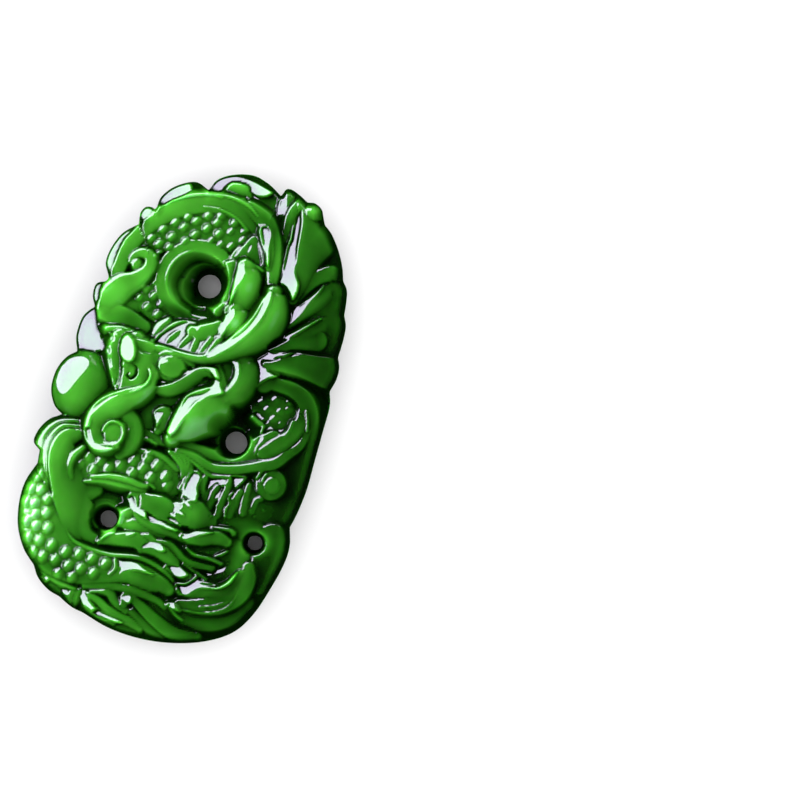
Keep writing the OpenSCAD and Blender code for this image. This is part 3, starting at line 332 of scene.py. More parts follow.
for rows, left, right in (
    ([(-13.35, 13.2, 0.75, 9.2), (-13.25, 15.3, 0.95, 9.2), (-12.7, 17.8, 1.1, 9.25), (-11.4, 20.4, 1.2, 9.3),
      (-9.4, 22.6, 1.3, 9.3), (-6.8, 24.3, 1.25, 9.3), (-3.8, 25.15, 1.05, 9.3), (-1.2, 24.9, 0.85, 9.3),
      (0.5, 24.1, 0.6, 9.2), (1.8, 23.2, 0.35, 9)], FLAT, FLAT),
    ([(-10.9, 22.2, 0.1, 9.4), (-9.6, 23.8, 0.16, 9.5), (-7.4, 25.2, 0.2, 9.55), (-4.9, 26.1, 0.2, 9.55),
      (-3.6, 26.2, 0.2, 9.5)], ROUND, ROUND),
    ([(-5.3, 24.35, 0.1, 9.4), (-3.2, 24.6, 0.13, 9.5), (-1, 24.15, 0.14, 9.5), (0.7, 23.1, 0.12, 9.4)],
     ROUND, ROUND),
    ([(-3.7, 10.67, 0.7, 9.1), (-5.5, 11.25, 0.8, 9.1), (-6.95, 12.55, 0.9, 9.1), (-7.7, 14.3, 0.95, 9.2),
      (-7.6, 16.25, 1, 9.2), (-6.7, 17.95, 0.95, 9.2), (-5.2, 19.15, 0.9, 9.2), (-3.3, 19.55, 0.8, 9.2),
      (-1.4, 19.15, 0.65, 9.1), (-0.15, 18.25, 0.5, 9.1)], PLAIN, PLAIN),
    ([(-6.6, 11.3, 0.7, 8.9), (-4.6, 10.6, 0.65, 8.9), (-2.4, 10.45, 0.6, 9.1), (-0.4, 10.7, 0.6, 9.3),
      (1, 11, 0.5, 9.4)], PLAIN, PLAIN),
):
    carving.form(rows, left, right)

# Mane
# Locks of hair that stream up from the head, and the leaves beside the bowl. Each is a smooth ridge with a
# bevel ground along its left.
EDGE = (0.14, 7)             # level nearly to the rim
for rows, left, right in (
    ([(-4.6, 26, 0.35, 0.35, 8.9), (-2, 26.15, 0.55, 0.6, 9.2), (0.4, 25.8, 0.8, 0.9, 9.5),
      (2.6, 24.8, 1, 1.1, 9.8), (4.2, 23, 0.8, 1.3, 10), (5, 21, 0.7, 1.3, 10.1), (5.4, 19.2, 0.7, 1.1, 10.2),
      (5.6, 17.8, 0.6, 0.8, 10.1)], PLAIN, (0.35, 2.2)),
    ([(-4.6, 26.35, 0.14, 9.3), (-2, 26.45, 0.17, 9.55), (0, 26.05, 0.17, 9.75), (1.4, 25.2, 0.12, 9.85)],
     ROUND, ROUND),
    ([(4.6, 19.4, 0.3, 0.3, 10.3), (4.3, 21, 0.6, 0.5, 10.3), (3.6, 22.5, 0.8, 0.7, 10.2),
      (3, 23.6, 0.8, 0.7, 10.1)], PLAIN, PLAIN),
    ([(4.1, 18.6, 0.4, 9.5), (3.6, 19.9, 0.8, 9.8), (2.8, 21, 0.85, 9.8), (2.1, 21.7, 0.5, 9.5)],
     PLAIN, PLAIN),
    ([(2, 19.5, 0.1, 9.9), (3, 19.2, 0.13, 10.1), (4, 18.8, 0.1, 10.1)], ROUND, ROUND),
    ([(1.35, 13.5, 0.1, 2.4, 10.4), (1.7, 14.8, 0.45, 2.8, 10.8), (1.75, 16.2, 0.75, 2.7, 11),
      (1.95, 17.6, 1, 2.2, 10.9), (1.8, 18.6, 0.8, 1.3, 10.5)], FLAT, (0.35, 2.6)),
    ([(1.4, 8.8, 0.5, 0.4, 10.6), (1.8, 10.1, 0.8, 1.3, 11), (2.25, 11.3, 0.9, 1.9, 11.1),
      (2.4, 12.4, 0.95, 1.8, 11), (2.2, 13.1, 0.7, 1.2, 10.7)], FLAT, (0.4, 2.6)),
    ([(0.5, 14.4, 0.4, 9.5), (0.5, 16, 0.4, 9.5), (0.3, 17.6, 0.4, 9.4), (0, 18.8, 0.4, 9.3),
      (0.8, 20.2, 0.8, 9.2), (2, 20.4, 0.7, 9.3)], PLAIN, PLAIN),
    ([(0.3, 14.2, 0.1, 9.7), (0.55, 15.6, 0.13, 9.8), (0.3, 17, 0.13, 9.7), (-0.4, 18.3, 0.1, 9.5)],
     ROUND, ROUND),
    ([(0.2, 12.3, 0.6, 9.8), (0.2, 13.2, 0.75, 10), (0.7, 13.5, 0.6, 10)], EDGE, SOFT),
):
    carving.form(rows, left, right)
for corners in (
    [(0.2, 19.4), (0.6, 20.8), (1.4, 22.6), (2.2, 22.6), (2.8, 21.4), (3.6, 19.8), (3.4, 19.3), (2.2, 19.6),
     (1.2, 19.9)],
    [(-0.9, 18.5), (0.3, 19.1), (0.85, 18.3), (1, 16.6), (1.05, 15), (1.15, 13.9), (0.2, 13.6), (0.3, 15),
     (0.3, 16.2), (-0.1, 17.4)],
):
    carving.facet(corners, 0.0, 152, 0.05)
for corners in (
    [(2.3, 24), (2.9, 24.2), (3.5, 23.8), (3.9, 22.8), (4.15, 21.6), (4.55, 20.2), (4.6, 19.5), (4.2, 19.8),
     (3.8, 20.9), (3.3, 22), (2.7, 23)],
    [(1.45, 20.6), (1.45, 21.4), (1.75, 21.5), (1.95, 20.9), (1.8, 20.4)],
    [(0.9, 18.6), (1.2, 19.15), (1.7, 18.9), (1.95, 18.2), (1.8, 17), (1.65, 15.8), (1.5, 14.6), (1.35, 13.7),
     (1.15, 14.6), (1.05, 16), (0.9, 17.4)],
    [(2, 13.4), (2.35, 12.9), (2.35, 12), (2, 11), (1.85, 10), (1.5, 9.5), (0.9, 10.2), (1.1, 11),
     (1.4, 12.2), (1.7, 13)],
):
    carving.facet(corners)

# Fins
# Long blades that fan out from the neck to the right edge, and the smooth band below them. Each blade's bevel
# is ground into the stone where the blade above it ends.
for rows, left, right in (
    ([(4.5, 26.2, 0.8, 0.5, 8.5), (4.5, 27.4, 0.9, 0.6, 8.5), (4.4, 28.6, 0.9, 0.8, 8.1),
      (4.1, 29.4, 0.4, 0.7, 7.6)], PLAIN, SOFT),
    ([(6.1, 22, 0.15, 0.3, 8.8), (5.5, 23.9, 0.35, 0.6, 9.1), (5.3, 25.8, 0.5, 0.7, 9.2),
      (5.45, 27.2, 0.5, 0.8, 9), (5.9, 28.5, 0.35, 0.7, 8.5)], PLAIN, SOFT),
    ([(8.95, 16.6, 0.9, 0.3, 9.5), (8.6, 18.4, 2, 1.4, 9.8), (7.9, 20.6, 1.6, 2.8, 10),
      (7.3, 22.9, 1.05, 4.6, 10), (6.9, 25.2, 0.75, 4.6, 9.6), (6.4, 27.4, 0.3, 2.8, 8.9)], PLAIN, (0.42, 2)),
    ([(9.3, 16.6, 0.25, 9.1), (10, 18.4, 0.5, 9.2), (10.9, 20, 0.8, 9.1), (12.2, 21, 0.9, 8.7),
      (13.3, 21.2, 0.7, 8.2)], PLAIN, PLAIN),
    ([(9.25, 13, 0.12, 0.2, 9.2), (9.95, 14.8, 0.75, 0.9, 9.4), (10.6, 16.3, 0.6, 1.4, 9.3),
      (11.3, 17.7, 0.3, 1.8, 9.1), (12.2, 19.4, 0.12, 2, 8.6), (13.6, 20.2, 0.1, 1.6, 7.9)],
     PLAIN, (0.45, 2.2)),
    ([(7.6, 9.4, 0.3, 0.35, 9.1), (9.2, 10, 0.8, 0.6, 9.2), (11.2, 11.4, 1.2, 0.8, 9),
      (13.4, 12.2, 1.4, 1, 8.5), (15.6, 12.4, 1.4, 1, 7.5)], (0.2, 3), (0.3, 4)),
    ([(7.5, 9.75, 0.2, 0.35, 9.2), (8.5, 10.55, 0.5, 0.7, 9.5), (9.6, 11.4, 0.65, 1, 9.5),
      (10.6, 12.5, 0.55, 1.4, 9.3), (11.6, 13.8, 0.3, 1.7, 9.1), (12.9, 15.3, 0.12, 2.2, 8.6),
      (14.6, 16, 0.1, 2.2, 7.8)], PLAIN, (0.4, 2.6)),
    ([(7.5, 7.5, 0.5, 0.4, 9.2), (8.3, 8.2, 0.75, 1, 9.4), (9.3, 8.95, 0.5, 1.6, 9.4),
      (10.5, 9.9, 0.2, 2.4, 9.2), (12.4, 10.3, 0.2, 2.9, 8.9), (15.8, 10.6, 0.2, 3.4, 7.8)], PLAIN, (0.2, 3)),
    ([(7.6, 4.9, 0.5, 0.4, 9.1), (8.3, 5.6, 0.7, 0.9, 9.2), (9.5, 5.95, 0.5, 1, 9.25),
      (12, 5.9, 0.6, 1.1, 9.1), (13.9, 5, 0.8, 1.2, 8.9), (15, 3.2, 1, 1.3, 8.6), (15.5, 0.6, 1.3, 1.6, 8.4),
      (15.6, -2.4, 1.4, 1.8, 8.2), (15.6, -5.5, 1.5, 2, 8), (15.4, -9, 1.6, 2.4, 7.8)], (0.1, 2), (0.1, 2)),
):
    carving.form(rows, left, right)
for corners in (
    [(3.6, 26.2), (3.55, 27.6), (3.75, 28.8), (4.1, 29.1), (4.5, 28.2), (4.75, 27), (4.6, 26.3), (4.1, 26.1)],
    [(6.4, 27.5), (6.1, 26.5), (6.2, 25), (6.35, 23.6), (6.2, 22.4), (6.35, 20.8), (6.5, 19.2), (6.5, 18),
     (7.3, 17.8), (8, 17.2), (8.7, 16.4), (9.05, 17.4), (8.9, 18.6), (8.2, 19.6), (7.8, 20.8), (7.35, 22.6),
     (7.1, 24.4), (6.8, 26.2)],
    [(9.1, 12.9), (9, 14.2), (9.2, 15.4), (9.9, 16.3), (10.4, 17), (11.2, 18.3), (11.9, 19.4), (11.6, 18),
     (10.9, 16.6), (10.3, 15.2), (9.8, 13.9)],
    [(7.4, 10), (8, 11), (9, 11.9), (10, 12.8), (11.2, 13.9), (12.8, 15.3), (11.4, 13.5), (10.2, 12.1),
     (9, 11), (8.1, 10.2), (7.5, 9.6)],
):
    carving.facet(corners, 0.0, 155, 0.36)
carving.form([(8.4, 5.6, 1.5, 1.2, 9.4), (8.6, 7.2, 2, 1.2, 9.4), (8.6, 8.8, 2.4, 1.2, 9.5),
              (9.4, 10, 2, 0.6, 9.5)], FLAT, SOFT)
carving.grind([(5.7, 8.1), (6.6, 8.9), (7.2, 9.5), (8.2, 9.4), (9.4, 9.7), (10.6, 10.1), (9.8, 9.3),
               (8.8, 8.8), (8.4, 8), (8.4, 7), (9.6, 6.7), (8.7, 6), (7.9, 5.2), (7.55, 4.6), (7.5, 5.6),
               (7.1, 6.7), (6.4, 7.5)], 0, 160, 0.34)
for rows, left, right in (
    ([(7.7, 7.75, 0.3, 9.6), (9, 7.95, 0.6, 9.75), (10.6, 8.5, 1.05, 9.6), (12.4, 8.9, 1.4, 9.2),
      (15.8, 9, 2, 8)], PLAIN, (0.2, 3)),
    ([(7.7, 9.75, 0.15, 9.6), (9, 10.4, 0.4, 9.7), (10.6, 11.3, 0.7, 9.5), (13, 12.4, 1.3, 8.8)],
     PLAIN, (0.2, 3)),
):
    carving.form(rows, left, right)
carving.pillow(8.2, 27.9, 1.25, 1.05, 0, 9.3, 0.13, 2.2)

# Right coil
# The body winds round the hole on the right, with a patch of low scales in its hollow. A bevelled lip and
# fine ridges run along its outer band.
FACET = (0.44, 1.15)         # a plain bevel, which mirrors the soft box over its whole width
for rows, left, right in (
    ([(8.6, 2.6, 1.2, 8.3), (9.8, 2.7, 1.9, 8.4), (11.2, 2.2, 2.1, 8.5), (11.7, 0.8, 1.8, 8.5),
      (10.9, -0.4, 1.3, 8.5)], FLAT, FLAT),
    ([(-5.2, -5.2, 0.7, 9), (-2.6, -5.1, 0.7, 9), (0, -5, 0.6, 9), (1.6, -5, 0.6, 8.9), (3.4, -5.1, 0.7, 8.8),
      (5.4, -5.2, 0.8, 8.8), (7.6, -4.7, 1, 8.9), (9.2, -3.7, 1.4, 9), (10.2, -2.4, 1.3, 9.1),
      (11.4, -1.2, 1.2, 9.2)], PLAIN, PLAIN),
):
    carving.form(rows, left, right)
carving.scales([(8.7, 3), (10.3, 3.8), (9.7, 2.4), (10.95, 0.1), (10.8, 1.5), (11.3, 2.6), (12.2, 3.1),
                (12.1, 4.1), (11.9, 1.1), (12.2, 0.1)], 0.6, 0.5, 40, 0.13)
for rows, left, right in (
    ([(9.8, 0.2, 0.2, 0.2, 9), (8.9, 0.65, 0.25, 0.2, 9), (8.1, 1, 0.15, 0.15, 8.9)], FACET, SOFT),
    ([(9.75, -0.6, 0.1, 9.1), (9.8, 0.1, 0.12, 9.1)], ROUND, ROUND),
    ([(12.4, -0.8, 0.15, 0.3, 9.3), (12.95, 0.4, 0.2, 0.3, 9.3), (13.1, 1.8, 0.15, 0.3, 9.1)], ROUND, SOFT),
    ([(10.8, -3, 0.8, 0.9, 9.25), (12, -1.8, 1, 1, 9.35), (13.4, 0, 0.9, 1, 9.2), (14.1, 2, 0.8, 0.9, 8.9),
      (13.9, 3.6, 0.6, 0.8, 8.5)], (0.12, 6), (0.3, 3)),
    ([(15.2, 1.2, 0.12, 9), (14.9, 2.4, 0.12, 9), (14.4, 3.6, 0.1, 8.9)], ROUND, ROUND),
    ([(0.4, -5.55, 0.15, 0.5, 9.3), (1.5, -5.55, 0.18, 0.6, 9.35), (2.8, -5.65, 0.2, 0.7, 9.4),
      (4.3, -6.1, 0.2, 0.8, 9.4), (5.7, -6.2, 0.24, 0.8, 9.5), (7.9, -5.6, 0.3, 0.9, 9.5),
      (9.7, -4.8, 0.34, 0.9, 9.5), (10.8, -4.2, 0.34, 1, 9.45), (12.2, -3.5, 0.34, 1.1, 9.3),
      (13.3, -2.15, 0.3, 1, 9.1), (14.6, -0.6, 0.25, 0.8, 8.9), (15.1, 1.4, 0.2, 0.5, 8.6)],
     (0.8, 1.3), PLAIN),
    ([(-0.6, -6.2, 0.14, 9.3), (1, -6.2, 0.18, 9.4), (3, -6.75, 0.2, 9.45), (5, -7.55, 0.22, 9.5),
      (6.6, -7.35, 0.2, 9.5), (8.6, -6.8, 0.2, 9.45), (9.4, -6.6, 0.15, 9.4)], ROUND, ROUND),
    ([(-4.8, -5.8, 0.12, 9.2), (-3.6, -5.55, 0.15, 9.3), (-2.4, -5.8, 0.12, 9.2)], ROUND, ROUND),
):
    carving.form(rows, left, right)
for corners in (
    [(8.2, 1.5), (8.5, 1.75), (9.2, 1.35), (9.7, 1.05), (9.6, 0.8), (8.9, 1)],
    [(9.7, -0.9), (9.6, -1.8), (9.7, -2.9), (9.85, -3.4), (10, -2.4), (10.3, -1.6), (10.1, -1.1)],
):
    carving.facet(corners)

# Body
# Pointed plates and leaves lie over the side of the body, next to a round boss. They are low and sharp, cut
# with a small wheel, with flat facets between them.
carving.form([(3.4, -9.8, 1.6, 8.8), (6, -9.5, 2.3, 9), (9, -9.3, 2.6, 9), (12, -9.2, 2.8, 8.7),
              (14.6, -8.8, 2.6, 8.1)], (0.2, 2.5), (0.2, 2.5))
carving.pillow(12.8, -6.5, 1.9, 1.9, 0, 9.2, 0.25, 3.0)
carving.pillow(13.0, -6.6, 1.0, 1.05, 0, 9.35, 0.12, 4.0)
for rows, left, right in (
    ([(2.2, -10.2, 0.3, 9.2), (2.5, -9, 0.35, 9.3), (2.65, -7.8, 0.35, 9.4), (2.4, -7, 0.25, 9.3)],
     FLAT, SOFT),
    ([(5.2, -11.6, 0.5, 9.2), (5.3, -10.4, 0.45, 9.3), (4.9, -9.2, 0.45, 9.5), (4.7, -8.1, 0.35, 9.5)],
     PLAIN, SOFT),
    ([(6.1, -12.2, 0.4, 9.2), (6.2, -10.9, 0.45, 9.3), (6.3, -9.6, 0.4, 9.3), (6.5, -8.8, 0.3, 9.3)],
     PLAIN, SOFT),
    ([(7.5, -12.2, 0.4, 9.2), (7.55, -10.4, 0.42, 9.4), (7.75, -8.6, 0.36, 9.55), (7.75, -7.3, 0.25, 9.5)],
     EDGE, SOFT),
    ([(8.9, -11.6, 0.5, 9.1), (9.1, -10, 0.5, 9.3), (9.4, -8.5, 0.36, 9.4)], PLAIN, SOFT),
    ([(10.5, -10.9, 0.45, 9), (10.3, -9.2, 0.42, 9.2), (10.2, -7.4, 0.3, 9.2)], EDGE, SOFT),
    ([(11.5, -10.4, 0.35, 8.9), (11.7, -9, 0.35, 9), (12.2, -8.6, 0.25, 9)], PLAIN, SOFT),
    ([(3.7, -11.2, 1.2, 0.9, 9.4), (3.6, -9.8, 1.1, 0.9, 9.6), (3.6, -8.4, 0.9, 0.7, 9.6)], FLAT, SOFT),
    ([(8.5, -12, 0.1, 9.3), (8.3, -11.1, 0.14, 9.4), (8.55, -10.3, 0.12, 9.4), (8.25, -9.5, 0.14, 9.5),
      (8.5, -8.9, 0.12, 9.5)], ROUND, ROUND),
    ([(11.65, -6.4, 0.1, 9.5), (11.75, -5.8, 0.12, 9.5), (11.9, -5.4, 0.1, 9.5)], ROUND, ROUND),
    ([(10.9, -6.2, 0.12, 9.3), (11.2, -5.3, 0.14, 9.35), (11.8, -4.7, 0.12, 9.3)], ROUND, ROUND),
    ([(-4.3, -7.2, 0.3, 9.2), (-2.6, -7, 0.3, 9.3), (-1, -7.2, 0.3, 9.3), (1, -8.1, 0.3, 9.2)], SOFT, SOFT),
):
    carving.form(rows, left, right)
for corners in (
    [(3.1, -7.7), (3.9, -7.9), (4.3, -8.4), (4.2, -9.4), (4.6, -10.4), (4.5, -11.3), (3.6, -11.2),
     (2.7, -10.8), (2.6, -9.6), (2.85, -8.4)],
    [(5.2, -8.3), (6.2, -7.7), (7.3, -7.4), (7.4, -8.3), (6.9, -8.5), (6.4, -8.3), (5.9, -8.9), (5.4, -9.7),
     (5.15, -9.2)],
    [(7.9, -7), (8.8, -6.7), (9.5, -6.6), (9.6, -7), (9.2, -7.7), (8.8, -8.2), (8.3, -7.8)],
    [(6.5, -9.6), (7, -9.2), (7.2, -9.6), (6.9, -10.4), (6.5, -10.2)],
):
    carving.facet(corners, 0.1)

# Tube under the head
# A scaled tube comes out from under the whisker. Two rolled seams along its lower side are left standing
# when the stone beside them is ground away.
carving.form([(-11.3, -11, 1.2, 9), (-9.4, -10.7, 1.9, 9.2), (-7, -10.1, 2, 9.2), (-4.6, -9.4, 2.2, 9.2),
              (-2.2, -9.3, 2.4, 9.2), (-0.2, -9.7, 2, 9.1), (1, -10.2, 1.3, 8.9)], (0.1, 3), (0.15, 3))
carving.scales([(-10.9, -11.1), (-10.1, -9.6), (-9, -11.2), (-8.4, -9.7), (-7.2, -10.3), (-5.9, -9.5),
                (-4.5, -8.5), (-4.2, -10.2), (-3.1, -9.1), (-2.9, -7.7), (-1.5, -8.3), (-1.8, -10.1),
                (0, -9.4), (0.5, -10.4)], 0.9, 0.72, 80, 0.4)
for rows, left, right in (
    ([(-11.4, -12.9, 0.2, 0.3, 9.9), (-11.95, -11.6, 0.4, 0.4, 10.25), (-11.9, -10.2, 0.4, 0.4, 10.3),
      (-11.1, -8.9, 0.25, 0.3, 10)], FACET, SOFT),
    ([(-9.6, -12.85, 0.15, 9.3), (-7.4, -12.2, 0.26, 9.6), (-5, -12, 0.28, 9.7), (-3, -11.9, 0.25, 9.6),
      (-2, -11.8, 0.15, 9.4)], ROUND, ROUND),
    ([(-9, -12.1, 0.15, 9.6), (-6.8, -11.35, 0.32, 9.95), (-4.6, -11.15, 0.34, 10), (-2.9, -11.3, 0.3, 9.9),
      (-2, -11.3, 0.18, 9.7)], ROUND, ROUND),
    ([(1, -11.9, 1.4, 8.8), (0.2, -13, 1.5, 9.1)], SOFT, SOFT),
    ([(-2.6, -11.2, 0.12, 9.5), (-1.7, -10.9, 0.16, 9.5), (-1, -11.2, 0.12, 9.4)], ROUND, ROUND),
):
    carving.form(rows, left, right)

# Head
# The dragon's head lies in profile. Its mouth is one smooth hollow with a bevelled lip, and the nose, the
# jaw and the whisker are left standing high round it.
for rows, left, right in (
    ([(-4.9, -3.6, 1.6, 9), (-4.3, -1.4, 1.7, 9.2), (-3.1, 0.5, 1.6, 9.6), (-1, 2, 1.5, 10),
      (0.8, 3.2, 1.2, 10.2)], (0.25, 2), (0.25, 2)),
    ([(-2, -3.6, 1.4, 9), (-1.2, -1.4, 1.2, 9.2), (-0.4, 0.6, 1.2, 9.7)], (0.2, 2), (0.2, 2)),
    ([(-2.9, -3.9, 0.2, 0.8, 9.4), (-2.6, -3, 0.8, 1.1, 9.7), (-2.6, -2.1, 1.1, 1.1, 9.8)], FLAT, FLAT),
    ([(3.8, 3.2, 0.5, 10.4), (3.8, 4.6, 0.8, 10.5), (3.2, 5.8, 0.8, 10.3)], FLAT, SOFT),
    ([(-4.5, 1.1, 0.5, 0.8, 10.8), (-3, 1.6, 0.5, 1.2, 11), (-2, 2.4, 0.5, 1.4, 11),
      (-1.2, 3.3, 0.5, 1.5, 11), (-0.4, 4.1, 0.4, 1.3, 11), (0.4, 4.7, 0.45, 1, 11),
      (1.2, 4.8, 0.55, 0.7, 11), (1.8, 4.6, 0.6, 0.4, 10.9)], PLAIN, (0.45, 1.7)),
    ([(-0.8, -4.4, 0.6, 1, 10.5), (-0.45, -3.2, 0.95, 2.4, 10.9), (-0.1, -1.8, 0.95, 3.4, 11.2),
      (0.25, -0.6, 0.95, 3.8, 11.35), (0.5, 0.3, 1, 4, 11.4), (0.9, 1, 1, 4, 11.4),
      (1.9, 1.8, 0.95, 3.8, 11.35), (2.7, 2.4, 0.85, 3, 11.3), (3.1, 3.2, 0.8, 1.5, 11.2),
      (3.15, 4.2, 0.75, 0.5, 11.1), (2.8, 5, 0.7, 0.3, 10.9), (2.2, 5.7, 0.35, 0.3, 10.6)],
     PLAIN, (0.42, 2.2)),
    ([(3.9, 2.6, 0.2, 1.6, 11.2), (4.7, 3.8, 0.5, 2.3, 11.3), (5.15, 5, 0.6, 2.3, 11.2),
      (5.1, 6.1, 0.7, 2.1, 10.9), (4.7, 7.1, 0.7, 1.7, 10.5)], PLAIN, (0.6, 2.2)),
    ([(-5.3, 4.9, 0.25, 10.8), (-4.5, 5.5, 0.28, 11.1), (-3.3, 5.55, 0.26, 11.2), (-1.9, 5.2, 0.24, 11),
      (-0.8, 4.95, 0.2, 10.8)], ROUND, ROUND),
    ([(-4.6, 2.9, 0.15, 10.9), (-3.7, 2.4, 0.22, 11), (-2.7, 2.4, 0.2, 11), (-2.1, 2.85, 0.15, 10.9)],
     ROUND, ROUND),
    ([(-7.2, -0.2, 1.6, 1.4, 11), (-7.2, 1.6, 1.8, 1.5, 11.3), (-7.2, 3.4, 2.2, 1.6, 11.5),
      (-7.6, 5, 2.2, 1.5, 11.1), (-8.4, 5.9, 1.4, 0.9, 10.5)], PLAIN, (0.35, 2.4)),
    ([(-10.6, 5.6, 1, 10.2), (-10.4, 4, 1.2, 10.3), (-9.6, 2.2, 1.3, 10.5), (-8.9, 0.4, 1, 10.6)],
     PLAIN, PLAIN),
    ([(-8.6, 2.7, 0.7, 0.4, 11.4), (-8.4, 3.7, 1.6, 0.5, 11.8), (-8.6, 4.6, 1.8, 0.5, 11.8),
      (-9.1, 5.4, 1.2, 0.6, 11.5), (-9.5, 5.8, 0.5, 0.4, 11.2)], FLAT, (0.5, 2)),
    ([(-6.2, 3.3, 0.9, 11), (-6, 5, 0.9, 10.8), (-6.6, 6, 0.5, 10.4)], (0.2, 3), (0.2, 3)),
    ([(-5.9, 3.3, 0.4, 0.15, 11.2), (-5.35, 2.3, 0.8, 0.2, 11.4), (-5.6, 1.1, 1.2, 0.25, 11.5),
      (-6.6, 0.1, 1.7, 0.3, 11.5), (-7.9, -0.7, 2.2, 0.35, 11.4), (-9.4, -1.9, 2.6, 0.4, 11.3),
      (-10.5, -3.2, 2.4, 0.45, 11.1), (-11, -4.7, 1.9, 0.5, 10.9), (-11, -6.1, 1.5, 0.5, 10.8),
      (-10.4, -7.3, 1.3, 0.6, 10.8), (-9.3, -8.1, 1.1, 0.6, 10.9), (-8.1, -8.1, 0.8, 0.5, 11),
      (-7.2, -7.5, 0.5, 0.4, 11)], (0.34, 2.4), FLAT),
    ([(-7.6, -7.9, 0.3, 11.1), (-6.9, -7, 0.24, 11), (-6.65, -6, 0.2, 11), (-7, -5, 0.2, 10.95),
      (-7.8, -4.6, 0.2, 10.9), (-8.7, -4.85, 0.2, 10.9), (-9.15, -5.6, 0.18, 10.8), (-9.2, -6.2, 0.12, 10.7)],
     (1, 1.4), (1, 1.4)),
    ([(-6.4, -8.4, 0.6, 9.8), (-5.6, -7.2, 0.9, 10.2), (-5.4, -5.6, 1, 10.3), (-5.9, -4.2, 0.9, 10.2),
      (-6.8, -3.4, 0.9, 10.3)], (0.2, 3), (0.35, 2.4)),
):
    carving.form(rows, left, right)
for row in (
    (-3.3, 4, 1.65, 1.3, 0, 11.4, 0.14, 2),
    (-7.9, -6.1, 1.15, 1.2, 0, 10.75, 0.15, 3),
):
    carving.pillow(*row)
for corners, lift, faces, slope in (
    ([(-0.9, -4.35), (-1.5, -3.9), (-1.35, -2.6), (-1, -1.2), (-0.7, 0.2), (-0.3, 1.1), (0.5, 1.6), (1.3, 2),
      (2, 2.7), (2.35, 3.5), (2.25, 4.2), (2.9, 4.3), (3.4, 3.4), (3.9, 2.7), (3.2, 2.2), (2.2, 1.7),
      (1.3, 1.1), (0.7, 0.4), (0.3, -0.8), (0, -2.2), (-0.4, -3.6)], 0, 152, 0.42),
    ([(-4.5, 1.2), (-4.4, 2), (-3.4, 2.25), (-2.6, 2.6), (-2, 3.2), (-1.7, 4), (-0.9, 4.3), (0, 4.9),
      (1, 5.4), (2, 5.5), (2.6, 4.9), (2.9, 4.3), (2.25, 4.25), (1.6, 4.75), (0.9, 4.85), (0, 4.5),
      (-0.9, 3.85), (-1.8, 3), (-2.8, 2.1), (-4, 1.4)], 0.1, 150, 0.33),
    ([(-3.75, -1.8), (-2.7, -1.75), (-2.65, -2.6), (-2.9, -3.7), (-3.3, -3.2), (-3.65, -2.5)], 0, 152, 0.42),
    ([(3.4, 6.8), (4, 6.4), (4.4, 5.6), (4.45, 4.8), (4.1, 3.8), (3.9, 3), (4.2, 2.8), (4.7, 3.6), (5.1, 4.6),
      (5.15, 5.7), (4.8, 6.7), (4.4, 7.1), (3.9, 7.1)], 0.1, 155, 0.4),
    ([(-10.4, 4.6), (-10.4, 5.4), (-9.9, 6), (-9.2, 5.9), (-8.5, 5.2), (-8.05, 4.2), (-8.1, 3.4), (-8.6, 3),
      (-9.4, 3.2), (-10.1, 3.8)], 0.1, 152, 0.42),
    ([(-5, 4.8), (-4.4, 4.7), (-3.7, 4.5), (-4.2, 4.2), (-4.6, 4), (-4.9, 4.3)], 0, 152, 0.42),
    ([(-8.8, 6.1), (-7.6, 6.2), (-6.2, 6.1), (-6, 5.2), (-6.6, 4.7), (-7.8, 4.8), (-8.4, 5.4)], 0, 152, 0.05),
    ([(-11.5, 5.9), (-11.5, 4.2), (-10.95, 2.8), (-10.6, 1.6), (-9.9, 0.3), (-9.4, 0.2), (-9.5, 1.6),
      (-9.6, 2.8), (-10.2, 4.2), (-10.5, 5.7)], 0, 152, 0.05),
    ([(-12.3, 5.9), (-11.6, 5.7), (-11.25, 5.1), (-11.8, 4.85), (-11.75, 5.4)], 0, 160, 0.42),
    ([(-12, 4.1), (-11.4, 3.9), (-11.3, 3.4), (-11.7, 3.3)], 0, 160, 0.42),
    ([(-11.1, 2.8), (-10.6, 2.2), (-10.1, 1.7), (-10.7, 1.8)], 0, 160, 0.42),
    ([(-9.5, 0.6), (-9.2, 0.2), (-9.2, -0.8), (-9.5, -0.4)], 0, 160, 0.42),
    ([(-6.2, 3.3), (-5.5, 2.6), (-5.35, 1.6), (-5.9, 0.6), (-7, -0.4), (-8.6, -1.2), (-9.8, -2.2),
      (-10.7, -3.6), (-11.05, -5), (-10.95, -6.3), (-11.5, -6.6), (-11.7, -5.4), (-11.4, -4), (-10.5, -2.5),
      (-9.2, -1.4), (-7.6, -0.7), (-6.4, 0.2), (-5.8, 1.2), (-5.75, 2.2)], 0.1, 155, 0.42),
    ([(-11.5, -6.6), (-10.95, -6.3), (-10.5, -7.1), (-9.7, -7.8), (-8.7, -8), (-7.8, -7.8), (-7.2, -7.9),
      (-7.9, -8.5), (-8.9, -8.8), (-10, -8.6), (-10.9, -7.8)], 0, 195, 0.4),
):
    carving.facet(corners, lift, faces, slope)

